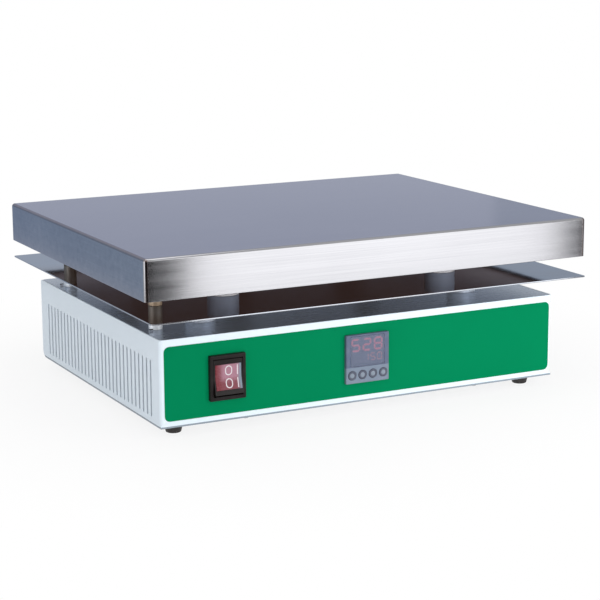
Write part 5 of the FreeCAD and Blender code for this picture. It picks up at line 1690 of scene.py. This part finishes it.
@dataclass
class Studio:
    """A white floor, a white surrounding, soft lamps and cards for the reflections."""

    floor_reach: float = 12.0
    floor_colour: Colour = (0.86, 0.86, 0.87)
    fill: float = 0.62
    floor_white: float = 0.85
    fade: Pair = (0.22, 0.5)
    lamps: tuple[SoftLamp, ...] = (
        SoftLamp("front_softbox", (0.2615, -0.62, 0.23), (0.2615, 0.0, 0.23), 0.513, 0.46, 1.87),
        SoftLamp("left_strip", (-1.15, -0.35, 0.35), (-0.2, -0.15, 0.1), 0.4, 0.7, 1.0),
        SoftLamp("overhead_softbox", (-0.1, -0.3, 1.5), (0.0, 0.0, 0.1), 1.0, 1.0, 2.0),
        SoftLamp("front_fill", (-0.25, -2.2, 0.3), (0.0, 0.0, 0.1), 0.9, 0.5, 8.5, glossy=False))
    cards: tuple[UprightCard, ...] = (
        UprightCard("left_flag", (-0.8, -0.62), (0.002, -0.62), 0.26, (0.036, 0.036, 0.041)),
        UprightCard("corner_card", (-0.9, -0.45), (-0.9, -0.02), 0.5, (2.5, 2.5, 2.6)),
        UprightCard("right_flag", (0.522, -0.62), (0.9, -0.62), 0.26, (0.1, 0.1, 0.12)),
        UprightCard("rear_left_card", (-0.45, 0.1), (-0.45, 1.0), 0.5, (0.56, 0.68, 0.80)),
        UprightCard("rear_right_card", (1.03, 1.2), (2.2, 1.2), 1.0, (0.85, 0.87, 0.88)))

    def floor(self) -> None:
        """Lay a white floor that keeps a soft shadow and shows white to the camera, metal and glass."""
        mesh = bpy.data.meshes.new("studio_floor")
        reach = self.floor_reach
        points = [(-reach, -reach, 0), (reach, -reach, 0), (reach, reach, 0), (-reach, reach, 0)]
        mesh.from_pydata(points, [], [(0, 1, 2, 3)])
        plane = add_object("studio_floor", mesh)
        material = bpy.data.materials.new("white studio floor")
        tree = ShaderTree(material)
        x, y, _ = tree.split(tree.place())
        away = tree.ramp(tree.math("SQRT", x * x + y * y), *self.fade)
        seen = self.seen(tree) * (self.floor_white + away * (1.0 - self.floor_white))
        matt = tree.node("ShaderNodeBsdfDiffuse", sockets={"Color": self.floor_colour})
        white = tree.node("ShaderNodeEmission", sockets={"Color": (1.0, 1.0, 1.0), "Strength": 1.0})
        tree.close(tree.node("ShaderNodeMixShader", sockets={0: seen, 1: matt, 2: white}))
        mesh.materials.append(material)

    def seen(self, tree: ShaderTree) -> Signal:
        """Return 1 for rays from the camera, from gloss and through glass.

        Args:
            tree: The tree that gets the nodes.

        Returns:
            The share, 0 or 1.
        """
        camera = tree.node("ShaderNodeLightPath", output="Is Camera Ray")
        gloss = tree.output_of(camera, "Is Glossy Ray")
        glass = tree.output_of(camera, "Is Transmission Ray")
        return tree.math("MAXIMUM", tree.math("MAXIMUM", camera, gloss), glass)

    def surrounding(self) -> None:
        """Fill the surrounding with soft light and show it white."""
        world = bpy.data.worlds.new("white studio")
        bpy.context.scene.world = world
        tree = ShaderTree(world)
        strength = self.fill + self.seen(tree) * (1.0 - self.fill)
        white = tree.node("ShaderNodeBackground", sockets={"Color": (1.0, 1.0, 1.0), "Strength": strength})
        tree.close(white, "ShaderNodeOutputWorld")

    def build(self) -> None:
        """Build the floor, the surrounding, the lamps and the cards."""
        self.floor()
        self.surrounding()
        for lamp in self.lamps:
            lamp.hang()
        for card in self.cards:
            card.stand()


@dataclass
class PhotoCamera:
    """The camera at the photograph's place."""

    place: Point = (-0.7771, -1.5369, 0.4393)
    yaw: float = 0.473621
    pitch: float = 0.208006
    roll: float = -0.005016
    lens: float = 107.2

    def build(self) -> None:
        """Set up the camera."""
        forward = Vector((math.sin(self.yaw) * math.cos(self.pitch),
                          math.cos(self.yaw) * math.cos(self.pitch),
                          -math.sin(self.pitch)))
        level = Vector((math.cos(self.yaw), -math.sin(self.yaw), 0.0))
        above = level.cross(forward)
        right = level * math.cos(self.roll) + above * math.sin(self.roll)
        up = right.cross(forward)
        turn = Matrix((right, up, -forward)).transposed()
        data = bpy.data.cameras.new("photo_camera")
        data.lens = self.lens
        data.clip_start = 0.05
        data.clip_end = 60.0
        holder = add_object("photo_camera", data)
        holder.matrix_world = Matrix.Translation(self.place) @ turn.to_4x4()
        bpy.context.scene.camera = holder


def main() -> None:
    """Build the hot plate and its studio, and log each stage."""
    logging.basicConfig(level=logging.INFO, format="%(name)s: %(message)s")
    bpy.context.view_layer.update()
    bpy.context.scene.view_settings.view_transform = "Standard"
    tree, screws, knurls = CopyTree(), ScrewTree(), KnurlTree()
    HeatingHead().build(screws)
    log.info("heating head built")
    HeatShield().build()
    log.info("heat shield built")
    SupportStack().build(tree)
    log.info("support stack built")
    Casing().build(screws)
    log.info("casing built")
    FrontLabel().build()
    log.info("front label built")
    PowerSwitch().build()
    log.info("power switch built")
    Controller().build(tree)
    log.info("temperature controller built")
    RearPanel().build(screws, knurls)
    log.info("rear panel built")
    Internals().build()
    log.info("internal parts dressed")
    Feet().build()
    log.info("feet built")
    Studio().build()
    log.info("studio built")
    PhotoCamera().build()
    log.info("camera placed")


if __name__ == "__main__":
    main()
